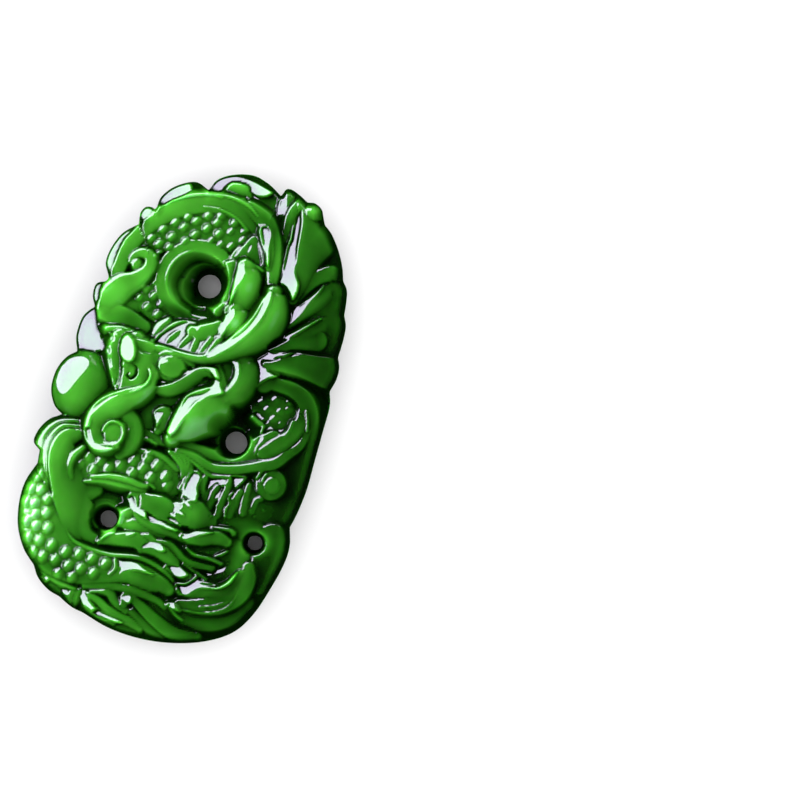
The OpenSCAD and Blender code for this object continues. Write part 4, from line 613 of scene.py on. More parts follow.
# Horn and brow
# The horn sweeps back from the brow to the mane. Beside it short fingers stand on a sloping field, which is
# ground flat first.
for rows, left, right in (
    ([(-5.4, 6.9, 0.9, 9.7), (-3.6, 8, 1.8, 9.9), (-1.6, 8.2, 1.8, 10.3), (0.6, 8.6, 1.8, 10.7)], FLAT, FLAT),
    ([(-6.6, 7.3, 0.4, 9.4), (-6.2, 8.4, 0.6, 9.5), (-5.5, 9.4, 0.4, 9.4)], FACET, SOFT),
    ([(-5.6, 5.65, 0.55, 0.5, 10.9), (-4.2, 5.75, 0.5, 0.45, 11), (-2.4, 5.8, 0.45, 0.4, 11.2),
      (-0.6, 6.05, 0.35, 0.6, 11.4), (0.9, 6.7, 0.4, 0.9, 11.6), (2.4, 7.9, 0.6, 1.3, 11.8),
      (3.5, 9.2, 0.85, 1.9, 11.9), (4.4, 10.5, 0.95, 2.5, 12), (5.2, 11.9, 0.95, 3, 12),
      (5.75, 13.4, 0.95, 3, 11.9), (6.05, 14.8, 0.95, 2.5, 11.7), (6.15, 15.8, 0.85, 1.8, 11.4),
      (6, 16.5, 0.6, 1.1, 11)], PLAIN, (0.6, 2.4)),
):
    carving.form(rows, left, right)
carving.grind([(-6.3, 6.3), (-5.8, 7.5), (-4.8, 8.7), (-3.6, 9.8), (-2.4, 10.3), (-1.8, 10.1), (-2, 9.3),
               (-1.6, 8.4), (-0.6, 8.6), (0.4, 9.1), (1.4, 9.6), (1.8, 9.2), (1.4, 8), (0.8, 7), (-0.4, 6.5),
               (-2, 6.3), (-3.6, 6.3), (-5, 6.35)], 0, 150, 0.34)
carving.grind([(6, 16.7), (5.5, 16.6), (5.2, 15.4), (5, 13.8), (4.6, 12.4), (4, 11.1), (3.2, 10), (2.4, 9.3),
               (1.5, 8.4), (0.9, 7.4), (0.3, 6.6), (1, 6.5), (2, 7.3), (3.2, 8.5), (4.2, 9.8), (5.1, 11.3),
               (5.8, 13), (6.15, 14.8), (6.2, 16.1)])
# The fingers, each level to its rim
for rows in (
    [(-4.75, 6.7, 0.28, 9.7), (-4.5, 7.4, 0.3, 9.8), (-4, 8.1, 0.3, 9.8), (-3.65, 8.5, 0.26, 9.7)],
    [(-3.2, 6.1, 0.28, 10.2), (-2.85, 7.2, 0.28, 10.3), (-2.3, 8.2, 0.32, 10.5)],
    [(-2.1, 9, 0.65, 10.6), (-1.2, 9.1, 0.9, 10.8), (0, 9.9, 0.8, 10.9), (0.7, 10.7, 0.5, 10.8)],
    [(-1.45, 6.6, 0.34, 10.8), (-1.4, 7.4, 0.33, 10.8), (-1.25, 8.4, 0.3, 10.7)],
    [(-0.45, 6.4, 0.24, 11), (-0.2, 7.4, 0.25, 11), (0.35, 8.8, 0.26, 11.1)],
    [(0.5, 6.8, 0.25, 11.3), (0.85, 7.8, 0.26, 11.3), (1.2, 8.8, 0.26, 11.3)],
):
    carving.form(rows, FLAT, FLAT)

# Pearl
# The plump pearl in front of the nose is a plain dome of the same stone. It is rounded with a hollow wheel
# and polished all over.
carving.pillow(-13.4, -1.4, 4.15, 4.3, 0.0, 10.7, 2.39, 2.0)

# Left limb
# A smooth limb hangs over the tail, level on one side and rounded on the other. Two folds along its outer
# side are cut as stepped bevels.
for rows, left, right in (
    ([(-16.6, -10, 0.5, 8.2), (-16.2, -8.7, 1, 8.6), (-15.4, -7.3, 0.9, 8.6), (-14.6, -6.3, 0.6, 8.5)],
     ROUND, SOFT),
    ([(-5.6, -19.6, 0.4, 0.6, 8.5), (-7.6, -19.4, 0.5, 1, 8.7), (-9.2, -18.2, 0.8, 1.8, 8.9),
      (-9.6, -16.4, 1.2, 1.8, 8.8), (-9.4, -14.4, 1.2, 1.6, 8.6), (-8.2, -13.4, 0.8, 1, 8.4)],
     (0.1, 3), (0.35, 1.8)),
    ([(-8.4, -20.3, 0.3, 0.6, 8.9), (-9.7, -19, 0.7, 1.8, 9.2), (-11.2, -16.6, 1, 3, 9.6),
      (-12.6, -14, 1, 3.8, 10), (-13.4, -11.8, 1.2, 2.6, 10.3), (-13.65, -9.8, 1.25, 1.8, 10.4),
      (-13.2, -8.3, 1.1, 1.3, 10.2), (-12.2, -7.5, 0.6, 0.8, 9.8)], FLAT, (0.45, 1.8)),
    ([(-12.5, -14.9, 0.2, 9.4), (-13.8, -13.6, 0.4, 9.7), (-14.85, -11.9, 0.55, 9.9),
      (-15.25, -10.1, 0.5, 9.9), (-15.1, -8.5, 0.35, 9.8), (-14.3, -7.15, 0.28, 9.7),
      (-12.9, -6.65, 0.22, 9.5), (-11.7, -6.4, 0.2, 9.4)], FACET, SOFT),
    ([(-12.3, -15.3, 0.25, 9.1), (-13.9, -14.2, 0.5, 9.3), (-15.4, -12.3, 0.75, 9.4),
      (-16.1, -10.2, 0.6, 9.4), (-15.95, -8.3, 0.4, 9.3), (-14.9, -6.8, 0.32, 9.2), (-13.2, -6.05, 0.26, 9.1),
      (-11.7, -5.8, 0.22, 9)], FACET, SOFT),
):
    carving.form(rows, left, right)

# Tail
# The scaled tail curls round the lower left and ends in a long leaf. Its scales are the highest and roundest
# on the stone.
carving.form([(-15, -13.4, 1.5, 8.6), (-14.5, -16, 2.3, 9.2), (-13.8, -18.8, 2.9, 9.5),
              (-12, -21.5, 3.1, 9.6), (-8.8, -22.9, 2.6, 9.6), (-5.6, -22.9, 2.2, 9.6),
              (-2.9, -22.6, 1.5, 9.6)], (0.16, 2.6), (0.3, 2.4))
carving.scales([(-15.4, -13.9), (-14.5, -15.4), (-15.8, -15.6), (-14.8, -17.3), (-13.3, -16.3), (-13, -18),
                (-16, -17.4), (-15.1, -19.7), (-13.8, -19.9), (-12.3, -19.8), (-14.3, -18.6), (-14.4, -21.7),
                (-12.9, -21.6), (-11.2, -21.7), (-9.3, -22), (-7.6, -21.7), (-5.9, -21.8), (-4.1, -21.9),
                (-13.2, -23.3), (-11.9, -23.5), (-10.3, -23.4), (-8.5, -23.6), (-6.9, -23.5), (-5.2, -23.6),
                (-7.6, -24.9), (-9.4, -25)], 0.9, 0.78, 80, 0.56)
for rows, left, right in (
    ([(-10.2, -19.2, 0.1, 9.2), (-9, -20.3, 0.16, 9.5), (-7, -20.75, 0.18, 9.6), (-4, -20.75, 0.2, 9.6),
      (-1, -20.1, 0.22, 9.6), (0.8, -20.15, 0.24, 9.6), (2.4, -20.5, 0.24, 9.6), (3.9, -21.15, 0.2, 9.5),
      (4.6, -21.6, 0.15, 9.4)], ROUND, SOFT),
    ([(-6.2, -24.6, 0.4, 0.5, 9.2), (-3.4, -23.7, 0.8, 0.5, 9.5), (-1.9, -22.9, 1.1, 0.8, 9.7),
      (-0.9, -22.3, 1.4, 1.4, 9.9), (0.4, -21.9, 1.1, 1.7, 10), (2.2, -21.75, 0.5, 2, 9.9),
      (3.6, -22.1, 0.4, 1.6, 9.7), (4.5, -22.6, 0.4, 1, 9.5)], FLAT, (0.4, 2.6)),
    ([(-3.2, -23.1, 0.15, 9.8), (-2.75, -22.2, 0.22, 9.9), (-3.05, -21.2, 0.2, 9.8)], FACET, (0.6, 2)),
    ([(-5.9, -25.3, 0.2, 0.4, 8.9), (-3.6, -24.5, 0.22, 0.6, 9.2), (-1.2, -24, 0.22, 0.7, 9.3),
      (1, -24, 0.22, 0.7, 9.3), (3.3, -24.35, 0.2, 0.6, 9.1), (4.6, -24.9, 0.15, 0.5, 9)], ROUND, SOFT),
):
    carving.form(rows, left, right)
carving.facet([(-2.9, -21), (-1.4, -20.95), (0, -21), (1.2, -21.3), (2.1, -21.6), (0, -21.7), (-1.4, -22.2),
               (-1.9, -22.8), (-2.2, -22)], 0.1, 152, 0.36)

# Hair
# Locks of hair flow under the tail and along the lower rim. Most are fine ridges, and a few broad ones have
# a facet.
for rows, left, right in (
    ([(-0.6, -6.25, 0.12, 9.3), (0.5, -6.9, 0.17, 9.5), (1.5, -7.8, 0.17, 9.5), (1.85, -8.9, 0.1, 9.3)],
     ROUND, ROUND),
    ([(-0.05, -6.25, 0.12, 9.3), (1, -6.8, 0.17, 9.5), (1.75, -7.7, 0.17, 9.5), (1.95, -8.7, 0.1, 9.3)],
     ROUND, ROUND),
    ([(0.5, -6.25, 0.12, 9.3), (1.5, -6.7, 0.17, 9.5), (2, -7.6, 0.17, 9.5), (2.05, -8.5, 0.1, 9.3)],
     ROUND, ROUND),
    ([(1.05, -6.25, 0.12, 9.3), (2, -6.6, 0.17, 9.5), (2.25, -7.5, 0.17, 9.5), (2.15, -8.3, 0.1, 9.3)],
     ROUND, ROUND),
    ([(-12.6, -24.9, 0.5, 0.5, 8), (-11, -25.9, 1.2, 0.6, 8), (-9.4, -26.7, 1.1, 0.7, 7.7),
      (-8.4, -27.3, 0.6, 0.5, 7.3)], SOFT, FACET),
    ([(-12.8, -25.1, 0.15, 8.3), (-10.6, -25.7, 0.2, 8.5), (-8.4, -26.05, 0.2, 8.6),
      (-6.9, -26.1, 0.15, 8.6)], ROUND, SOFT),
    ([(-7.2, -27.8, 0.3, 0.4, 7.8), (-7.3, -26.9, 0.6, 0.5, 8.2), (-7, -26.2, 0.5, 0.5, 8.4)], FACET, SOFT),
    ([(-6.6, -28.3, 0.4, 7.5), (-6.4, -27.3, 0.5, 8), (-6.3, -26.3, 0.45, 8.4)], SOFT, ROUND),
    ([(-1, -28.7, 0.4, 0.2, 8.3), (-2.8, -28.3, 0.5, 0.5, 8.4), (-4.4, -27.7, 0.55, 0.6, 8.5),
      (-5.3, -26.9, 0.4, 0.5, 8.5), (-5.7, -26, 0.2, 0.3, 8.4)], FLAT, SOFT),
    ([(-5.2, -26.2, 0.15, 0.5, 8.8), (-3.6, -26.45, 0.18, 0.7, 8.9), (-2.2, -27.15, 0.2, 0.8, 8.9),
      (-0.6, -27.6, 0.2, 0.8, 8.8), (0.8, -27.8, 0.18, 0.8, 8.7), (2.4, -28.4, 0.15, 0.6, 8.2)],
     ROUND, ROUND),
    ([(-4.9, -25.85, 0.1, 9), (-3.7, -25.5, 0.18, 9.2), (-2.5, -25.4, 0.5, 9.1), (-1.6, -26.2, 0.5, 8.9),
      (0, -26.9, 0.4, 8.8)], ROUND, SOFT),
    ([(-0.4, -26.2, 0.5, 0.4, 9), (-0.2, -25.5, 0.9, 0.6, 9.1), (0.2, -25.1, 0.9, 0.6, 9.1)], FLAT, SOFT),
    ([(0.6, -25.1, 0.2, 0.6, 9.1), (2.2, -25.7, 0.22, 1, 9.1), (4.2, -26.6, 0.22, 1.2, 8.9),
      (6.4, -27.3, 0.2, 1.3, 8.5), (9.2, -27.2, 0.2, 1.2, 8)], PLAIN, PLAIN),
    ([(0.8, -26.7, 0.3, 0.8, 8.7), (2.6, -27.5, 0.25, 0.9, 8.5), (5, -28.3, 0.2, 0.8, 8),
      (7.4, -28.4, 0.2, 0.6, 7.7)], ROUND, ROUND),
    ([(-5, -28.7, 0.3, 7.6), (-2.2, -29.2, 0.4, 7.7), (0.4, -29.1, 0.4, 7.7), (2.2, -28.9, 0.4, 7.6)],
     ROUND, ROUND),
    ([(4.9, -24.6, 0.25, 9.2), (5.7, -24.6, 0.4, 9.3), (6.5, -24.9, 0.2, 9.2)], FACET, SOFT),
    ([(5.2, -25, 0.12, 9.1), (6.2, -25.6, 0.16, 9.1), (7.1, -26, 0.14, 9)], ROUND, SOFT),
    ([(6.6, -28.5, 0.2, 8), (7.5, -28.35, 0.35, 8)], FACET, SOFT),
    ([(7, -25.6, 0.9, 8.7), (9.6, -25.4, 1.2, 8.6), (12.2, -24, 1.4, 8.3), (13.8, -21.6, 1.4, 8.2)],
     SOFT, ROUND),
):
    carving.form(rows, left, right)
for corners, faces, slope in (
    ([(-12.6, -25.1), (-11.2, -25.6), (-10.2, -25.9), (-10.6, -26.5), (-11.6, -26.2), (-12.3, -25.8)],
     160, 0.4),
    ([(-8.4, -26.6), (-7.9, -26.4), (-7.5, -26.7), (-7.5, -27.3), (-8, -27.4), (-8.4, -27.1)], 160, 0.42),
    ([(-6, -26), (-5.9, -27), (-5, -27.9), (-3.9, -28.4), (-3.4, -27.8), (-4.1, -27.4), (-5, -26.7),
      (-5.6, -26)], 200, 0.46),
    ([(-3.9, -28.4), (-2.2, -28.8), (-0.4, -28.7), (0.1, -28.4), (-1.2, -28.3), (-2.7, -28), (-3.4, -27.8)],
     200, 0.46),
    ([(-1.3, -25.4), (-0.6, -25), (0.1, -25), (0.4, -25.4), (0.2, -26), (-0.5, -25.8)], 152, 0.42),
    ([(4.9, -24.7), (5.3, -24.2), (5.9, -24.6), (6.4, -25), (5.6, -25)], 152, 0.42),
):
    carving.facet(corners, 0.1, faces, slope)

# Crescents
# Broad crescents fill the lower right corner, below the small hole. They are smooth, with a few fine ridges
# left standing along them.
for rows, left, right in (
    ([(9.8, -14.6, 1.2, 8.7), (11.2, -16.6, 1.8, 8.8), (11, -18.8, 1.7, 8.8), (9, -20, 1, 8.6)], SOFT, SOFT),
    ([(15.4, -12.8, 1.2, 2.2, 8.5), (15.8, -15.6, 1.3, 2.6, 8.4), (15.3, -18.6, 1.3, 1.8, 8.2)],
     PLAIN, (0.03, 2)),
    ([(6.2, -24, 0.4, 0.9, 8.9), (8.6, -23.6, 0.8, 1.1, 9.1), (10.8, -22.7, 1, 1.3, 9.2),
      (12.5, -20.9, 1, 1.5, 9.2), (13.1, -18.8, 0.7, 1.4, 9), (12.9, -17.4, 0.4, 1, 8.8)], PLAIN, PLAIN),
    ([(5.9, -22.5, 0.7, 0.5, 9.3), (6.9, -22.1, 1.2, 0.9, 9.4), (8, -21.5, 0.9, 1.2, 9.4),
      (9.2, -21.1, 0.6, 1.4, 9.4), (10.5, -20.8, 0.4, 1.4, 9.4), (11.5, -19.8, 0.3, 1.2, 9.3),
      (12.1, -18.3, 0.2, 0.9, 9.1)], FLAT, SOFT),
    ([(5.2, -21.9, 0.12, 9.6), (6.2, -21.6, 0.2, 9.7), (6.9, -21, 0.2, 9.7), (7.2, -20.3, 0.14, 9.5)],
     ROUND, ROUND),
    ([(6.5, -24.75, 0.08, 9.1), (8.5, -24.55, 0.1, 9.2), (10.4, -24, 0.1, 9.3), (11.9, -23, 0.1, 9.3),
      (12.6, -21.8, 0.1, 9.3), (12.75, -20.3, 0.08, 9.2)], ROUND, ROUND),
    ([(8.8, -23.75, 0.07, 9.3), (10.5, -23.1, 0.09, 9.35), (11.9, -22.1, 0.07, 9.3)], ROUND, ROUND),
):
    carving.form(rows, left, right)
carving.facet([(5.2, -21.9), (6.3, -21.6), (7, -20.9), (7.4, -20.6), (8.5, -21), (10, -20.75), (11, -19.8),
               (12, -18.2), (11.7, -19.7), (10.7, -20.8), (9.3, -21.25), (8.1, -21.65), (7.4, -22.2),
               (6.9, -22.9), (6, -22.8)], 0.1, 152, 0.36)

# Middle
# Claws, lobes and leaves fill the space between the tube and the tail. They are small and overlap, and their
# facets have a narrower soft border than elsewhere.
for rows, left, right in (
    ([(-3, -12.6, 0.5, 1, 9.3), (-1.4, -12.9, 0.9, 1.2, 9.6), (0.4, -13.1, 1.2, 1.5, 9.8),
      (1.8, -13.6, 1, 1.2, 9.7), (3.2, -14.6, 0.6, 0.5, 9.4)], PLAIN, PLAIN),
    ([(6.8, -13.2, 0.9, 9.3), (5.4, -13, 1.6, 9.9), (4.4, -12.8, 1.7, 10.1), (3.8, -13, 1.5, 10.1)],
     PLAIN, PLAIN),
    ([(-3.2, -13.5, 0.7, 0.4, 9.1), (-2.4, -14.3, 0.7, 0.7, 9.3), (-1, -15, 0.6, 1, 9.5),
      (1, -15.4, 0.5, 1, 9.6), (3, -15.5, 0.4, 0.9, 9.6), (5, -16, 0.2, 0.7, 9.5)], FLAT, (0.3, 3)),
    ([(-3.9, -16.4, 0.15, 0.4, 9.2), (-4.05, -15.5, 0.25, 0.8, 9.3), (-3.5, -14.9, 0.3, 0.9, 9.3)],
     ROUND, SOFT),
    ([(-3.4, -16.2, 0.8, 9), (-2.4, -16.4, 0.9, 9.2), (-0.6, -16.4, 0.8, 9.2), (1.6, -16.3, 0.6, 9.2)],
     SOFT, SOFT),
    ([(4.1, -15.9, 0.3, 0.3, 9.8), (5.1, -15.9, 0.6, 0.6, 10), (6.1, -15.3, 0.65, 1.2, 10.1),
      (7.3, -14.6, 0.4, 1.4, 10), (8.6, -14.6, 0.5, 1.1, 9.8), (9.7, -14.9, 0.4, 0.7, 9.4)], FLAT, (0.3, 3)),
    ([(7.3, -13.75, 0.1, 9.4), (8.5, -13.55, 0.13, 9.5), (9.6, -13.45, 0.2, 9.5), (10.1, -13.7, 0.3, 9.4)],
     ROUND, SOFT),
    ([(5, -17.15, 0.12, 9.4), (6.2, -17.65, 0.16, 9.5), (8.3, -17.6, 0.16, 9.5), (9.8, -17.8, 0.14, 9.3)],
     ROUND, SOFT),
    ([(8.9, -17, 0.12, 9.3), (9.5, -16.6, 0.16, 9.4), (10, -16.1, 0.1, 9.3)], ROUND, SOFT),
    ([(-1.2, -17.4, 0.2, 0.5, 9.3), (0, -17.05, 0.2, 0.6, 9.5), (1, -17.4, 0.2, 0.6, 9.5),
      (2, -17.25, 0.2, 0.6, 9.5), (3, -17.25, 0.2, 0.6, 9.5), (4, -17.75, 0.2, 0.6, 9.5),
      (5, -18.35, 0.2, 0.6, 9.4), (6.2, -18.65, 0.2, 0.6, 9.4), (8.8, -18.5, 0.16, 0.5, 9.2)], ROUND, SOFT),
    ([(-5.7, -19.6, 0.3, 0.3, 8.9), (-4.6, -18.8, 0.4, 0.8, 9.2), (-3.2, -18.1, 0.4, 1.2, 9.4),
      (-1.6, -17.6, 0.45, 1.4, 9.5), (-0.4, -17.9, 0.3, 1.2, 9.5)], PLAIN, PLAIN),
    ([(-5.5, -19.2, 0.08, 9.4), (-5, -18.5, 0.12, 9.5), (-4.3, -18, 0.08, 9.5)], ROUND, ROUND),
    ([(-0.4, -18.9, 0.5, 0.5, 9.4), (0.7, -18.55, 0.75, 0.7, 9.6), (2, -18.55, 0.8, 0.8, 9.7),
      (3, -18.9, 0.7, 0.8, 9.6), (4.2, -19.4, 0.5, 0.6, 9.4)], FLAT, (0.3, 3)),
    ([(3.4, -20.2, 0.4, 9.4), (4.6, -20.3, 0.7, 9.5), (5.8, -20.5, 0.5, 9.5), (6.4, -20.5, 0.3, 9.4)],
     FLAT, SOFT),
    ([(5.2, -19.15, 0.12, 9.3), (6.4, -19.55, 0.16, 9.3), (7.6, -20, 0.14, 9.2)], ROUND, SOFT),
    ([(7.2, -19.7, 0.12, 9.2), (8.5, -20.25, 0.16, 9.2)], ROUND, SOFT),
):
    carving.form(rows, left, right)
for corners, lift, slope in (
    ([(-3.9, -13.3), (-3.4, -12.9), (-2.8, -13.5), (-1.9, -14.15), (-1, -14.45), (-0.6, -15.15), (-1.6, -15),
      (-2.8, -14.5)], 0.1, 0.42),
    ([(-1, -14.35), (0.5, -14.75), (2, -15.05), (3.4, -15.3), (3, -15.6), (1, -15.5), (-0.6, -15.15)],
     0.1, 0.36),
    ([(3.9, -15.8), (4.7, -15.4), (6, -14.7), (7.7, -14.3), (6.8, -14.9), (6, -15.35), (5, -15.9),
      (4.2, -16.05)], 0.1, 0.4),
    ([(-0.4, -18.7), (-0.1, -18.1), (0.8, -17.7), (2, -17.7), (2.7, -18.3), (1.9, -18.6), (0.6, -18.4)],
     0.1, 0.4),
    ([(3.3, -20), (4.5, -19.7), (6.2, -20.2), (5.9, -20.8), (5, -21), (4.2, -20.6)], 0.1, 0.4),
    ([(-3.1, -18.1), (-2.5, -17.4), (-1.6, -17.1), (-1.7, -17.5), (-2.3, -17.9)], 0.1, 0.42),
    ([(1.8, -12), (2.4, -11.85), (3, -12.3), (2.7, -12.7), (2, -12.6)], 0.1, 0.42),
    ([(2.8, -11.3), (4, -11.9), (4.1, -12.25), (2.85, -11.65)], 0.1, 0.42),
    ([(2.3, -12.85), (3.4, -13.15), (3.6, -13.5), (2.3, -13.2)], 0.1, 0.42),
    ([(1.7, -13.35), (2.5, -13.6), (2.6, -14), (1.7, -13.75)], 0.1, 0.42),
    ([(1.8, -14), (3.4, -14.5), (3.5, -14.85), (1.8, -14.4)], 0.1, 0.42),
):
    carving.facet(corners, lift, 152, slope, 0.22)
carving.scales([(7, -11), (6.8, -12.4), (12, -10.9), (12.9, -9.9)], 0.24, 0.24, 0, 0.18)

# Grooves
# The curl of the temple, the parting of the claws and a nick in the top cloud are fine grooves, cut with a
# thin wheel. Rows are x, y, half width, height.
for rows in (
    [(-8.15, 3, 0.12, -0.25), (-7.5, 2.6, 0.2, -0.5), (-7.35, 1.7, 0.22, -0.6), (-7.8, 1.15, 0.22, -0.6),
     (-8.35, 1.4, 0.18, -0.5), (-8.2, 1.8, 0.1, -0.25)],
    [(-2.5, -12.7, 0.12, -0.25), (-2.3, -13.5, 0.14, -0.3), (-2.1, -14.2, 0.12, -0.2)],
    [(-0.9, 27.2, 0.1, -0.1), (-0.5, 26.8, 0.25, -0.5), (-0.1, 26.9, 0.1, -0.1)],
):
    carving.line(rows)

# Wells and holes
# Four holes go right through, each at the bottom of a well that was ground with a tapered point. A thin lip
# is left standing round a part of each well.
LIP_POINTS = 16
LIP_FADE = 0.4               # how suddenly a lip begins and ends

for throat, rim, power in (
    ((-1.95, 15.05, 1.55, 4), (-3.3, 15.1, 3.75, 9.1), 0.85),
    ((7.05, -2.8, 1.5, 4), (6.4, -2.5, 2.5, 8.8), 0.6),
    ((-5.55, -16.7, 1.2, 4), (-6.1, -16.25, 2, 8.6), 0.6),
    ((13, -14.2, 1.05, 4), (12.9, -14.2, 1.5, 8.5), 0.7),
):
    carving.well(throat, rim, power)
for x, y, radius, first, last, half_width, height in (
    (-3.3, 15.1, 3.95, 95, 245, 0.26, 0.15),
    (-3.3, 15.1, 3.8, 25, 80, 0.2, 0.14),
    (6.5, -2.6, 2.45, -70, 75, 0.22, 0.16),
    (-6.05, -16.3, 2.05, -140, 140, 0.2, 0.13),
    (12.9, -14.2, 1.35, -60, 65, 0.2, 0.2),
):
    a = np.radians(np.linspace(first, last, LIP_POINTS))
    fade = np.sin(np.linspace(0, np.pi, LIP_POINTS))**LIP_FADE
    ring = [x + radius * np.cos(a), y + radius * np.sin(a)]
    carving.line(np.stack(ring + [half_width * fade, height * fade], 1))
for row in carving.facets:
    carving.grind(*row)
# Rows are x, y, radius of the hole
HOLES = [(-1.95, 15.05, 1.5), (7.05, -2.8, 1.4), (-5.55, -16.7, 1.1), (13.0, -14.2, 0.95)]

# The carved stone
# One closed skin of polished green stone: the carved face, which rounds down to the widest line, the side
# below that, and a flat back. The four holes are drilled through it last.
MM = 0.001                   # metres in a millimetre of the drawing
EDGE_ROUND = (0.45, 1.3)     # narrowest and widest band in which the carving rounds down to the widest line
EDGE_POWER = 2.4             # fullness of that rounding
SIDE_LEVELS = 8              # rings of points on the side below the widest line
SIDE_POWERS = (0.8, 1.6)     # fullness of the side's section, in height and in inset
SIDE_INSET = 2.3             # how far the side draws in towards the back
BACK_INSET = 0.5             # a last ring on the back, so that its flat part is shaded flat

# The lobes at the upper left are cut off sharply. The rest is worn round: to the right of x = 3, below
# y = -10, and to the right of x = -8 where it is also below y = 25.
shoulder = np.minimum((face_x + 8) / 4, (25 - face_y) / 2)
worn = np.clip(np.maximum((face_x - 3) / 3, np.maximum(shoulder, (-10 - face_y) / 3)), 0, 1)
edge_round = EDGE_ROUND[0] + (EDGE_ROUND[1] - EDGE_ROUND[0]) * worn
# The distance from the outline is needed near it only
from_edge = np.full(face_x.shape, EDGE_ROUND[1])
band = np.nonzero(reach(face_x, face_y) - np.hypot(face_x, face_y) < 3 * EDGE_ROUND[1])[0]
from_edge[band] = nearest(face_x[band], face_y[band], np.vstack([outline, outline[:1]]))[0]
t = np.clip(from_edge / edge_round, 0, 1)
face_z = GIRDLE + (carving.z - GIRDLE) * (1 - (1 - t)**EDGE_POWER)**(1 / EDGE_POWER)

across, along = GRID
index = np.arange((across + 1) * (along + 1)).reshape(along + 1, across + 1)
rim = np.concatenate([index[0, :-1], index[:-1, -1], index[-1, :0:-1], index[:0:-1, 0]])
face_z[rim] = GIRDLE
points = np.stack([face_x, face_y, face_z], 1)


def ring_below(height, inset):
    """The rim drawn in towards the middle by an inset and put at a height."""
    p = points[rim]
    r = np.hypot(p[:, 0], p[:, 1])
    return np.column_stack([p[:, :2] * ((r - inset) / r)[:, None], np.full(len(p), height)])


rings = [ring_below(GIRDLE * c**SIDE_POWERS[0], SIDE_INSET * (1 - c**SIDE_POWERS[1]))
         for c in np.cos(np.linspace(0, np.pi / 2, SIDE_LEVELS + 1)[1:-1])]
rings += [ring_below(0, SIDE_INSET), ring_below(0, SIDE_INSET + BACK_INSET)]
ring_ids = [rim] + [len(points) + k * len(rim) + np.arange(len(rim)) for k in range(len(rings))]
points = np.vstack([points] + rings)
quads = [np.stack([index[:-1, :-1], index[:-1, 1:], index[1:, 1:], index[1:, :-1]], -1).reshape(-1, 4)]
for upper, lower in zip(ring_ids, ring_ids[1:]):
    quads.append(np.stack([upper, lower, np.roll(lower, -1), np.roll(upper, -1)], 1))
quads = np.vstack(quads)

# The drawing is fitted to the length and thickness of the model in model.glb
(low_x, low_y, low_z), (high_x, high_y, high_z) = cad_box
unit = (high_y - low_y) / np.ptp(face_y)
middle = (points[:, :2].max(0) + points[:, :2].min(0)) / 2
rise = ((high_z - low_z) - GIRDLE * MM) / (face_z.max() - GIRDLE)


def placed(p):
    """Moves points of the drawing into the frame, in metres."""
    q = np.array(p, float)
    q[:, :2] = (q[:, :2] - middle) * unit + [(low_x + high_x) / 2, (low_y + high_y) / 2]
    q[:, 2] = np.where(q[:, 2] > GIRDLE, GIRDLE * MM + (q[:, 2] - GIRDLE) * rise, q[:, 2] * MM)
    return q


def new_object(name, points, faces):
    """Puts a mesh of these points and faces into the scene."""
    mesh = bpy.data.meshes.new(name)
    mesh.from_pydata(points.tolist(), [], faces)
    mesh.update()
    obj = bpy.data.objects.new(name, mesh)
    bpy.context.scene.collection.objects.link(obj)
    return obj


stone = new_object("dragon_pendant", placed(points), quads.tolist() + [ring_ids[-1][::-1].tolist()])


def box_mean(field, cells):
    """Mean over a square of 2 cells + 1 points: differences of running sums, first down, then across."""
    size = 2 * cells + 1
    for axis in (0, 1):
        padding = [(0, 0), (0, 0)]
        padding[axis] = (cells + 1, cells)
        sums = np.cumsum(np.pad(field, padding, "edge"), axis)
        ends = [np.take(sums, range(start, start + field.shape[axis]), axis) for start in (0, size)]
        field = (ends[1] - ends[0]) / size
    return field


LEVEL_GLOW = 0.35            # glow of a level place at the usual height of the face
USUAL_HEIGHT = 9
NEAR, FAR = 4, 14            # cells on each side of a point that its height is compared with
GLOW_PER_MM = (0.4, 0.15, 0.03)      # for each mm above the near mean, the far mean and the usual height
SIDE_GLOW, FOOT_SHADE = 0.2, 0.06    # painted light on the left, towards the main light, and painted shade at the foot, away from it
STEEP_FROM = 1.1             # slope at which a flank begins to count as a wall, which it is at 1 more
CREASE_FROM = 0.012          # mm that the points next to it lie higher where a crease begins
CREASE_OVER = 0.03           # and how many more where it is a full crease
STEEP_SHADE, CREASE_SHADE, FACING_SHADE, EDGE_SHADE = 0.2, 0.12, 0.2, 0.4
FACING_RANGE = (-0.6, 1.2)   # slopes away from and towards the light that still count
EDGE_SHADE_WIDTH = 1.2
RIM_GLOW = 0.1
LIGHT_FROM = 156             # azimuth of the main light

# Painted light and shade: ridges are painted pale as if light came through them, and hollows are painted dark
# as shade
grid_z = face_z.reshape(along + 1, across + 1)
near_mean, far_mean = (box_mean(box_mean(grid_z, cells), cells).ravel() for cells in (NEAR, FAR))
glow = LEVEL_GLOW + GLOW_PER_MM[0] * (face_z - near_mean) + GLOW_PER_MM[1] * (face_z - far_mean) \
    + GLOW_PER_MM[2] * (face_z - USUAL_HEIGHT)
# Painted light and shade by where the main light falls: 12 mm to the left of x = 3 would add the side's share
# and 12 mm to the right take it away, and 20 mm below y = -6 take the foot's
side_shade = SIDE_GLOW * np.clip((3 - face_x) / 12, -1, 0.7) - FOOT_SHADE * np.clip((-face_y - 6) / 20, 0, 1)
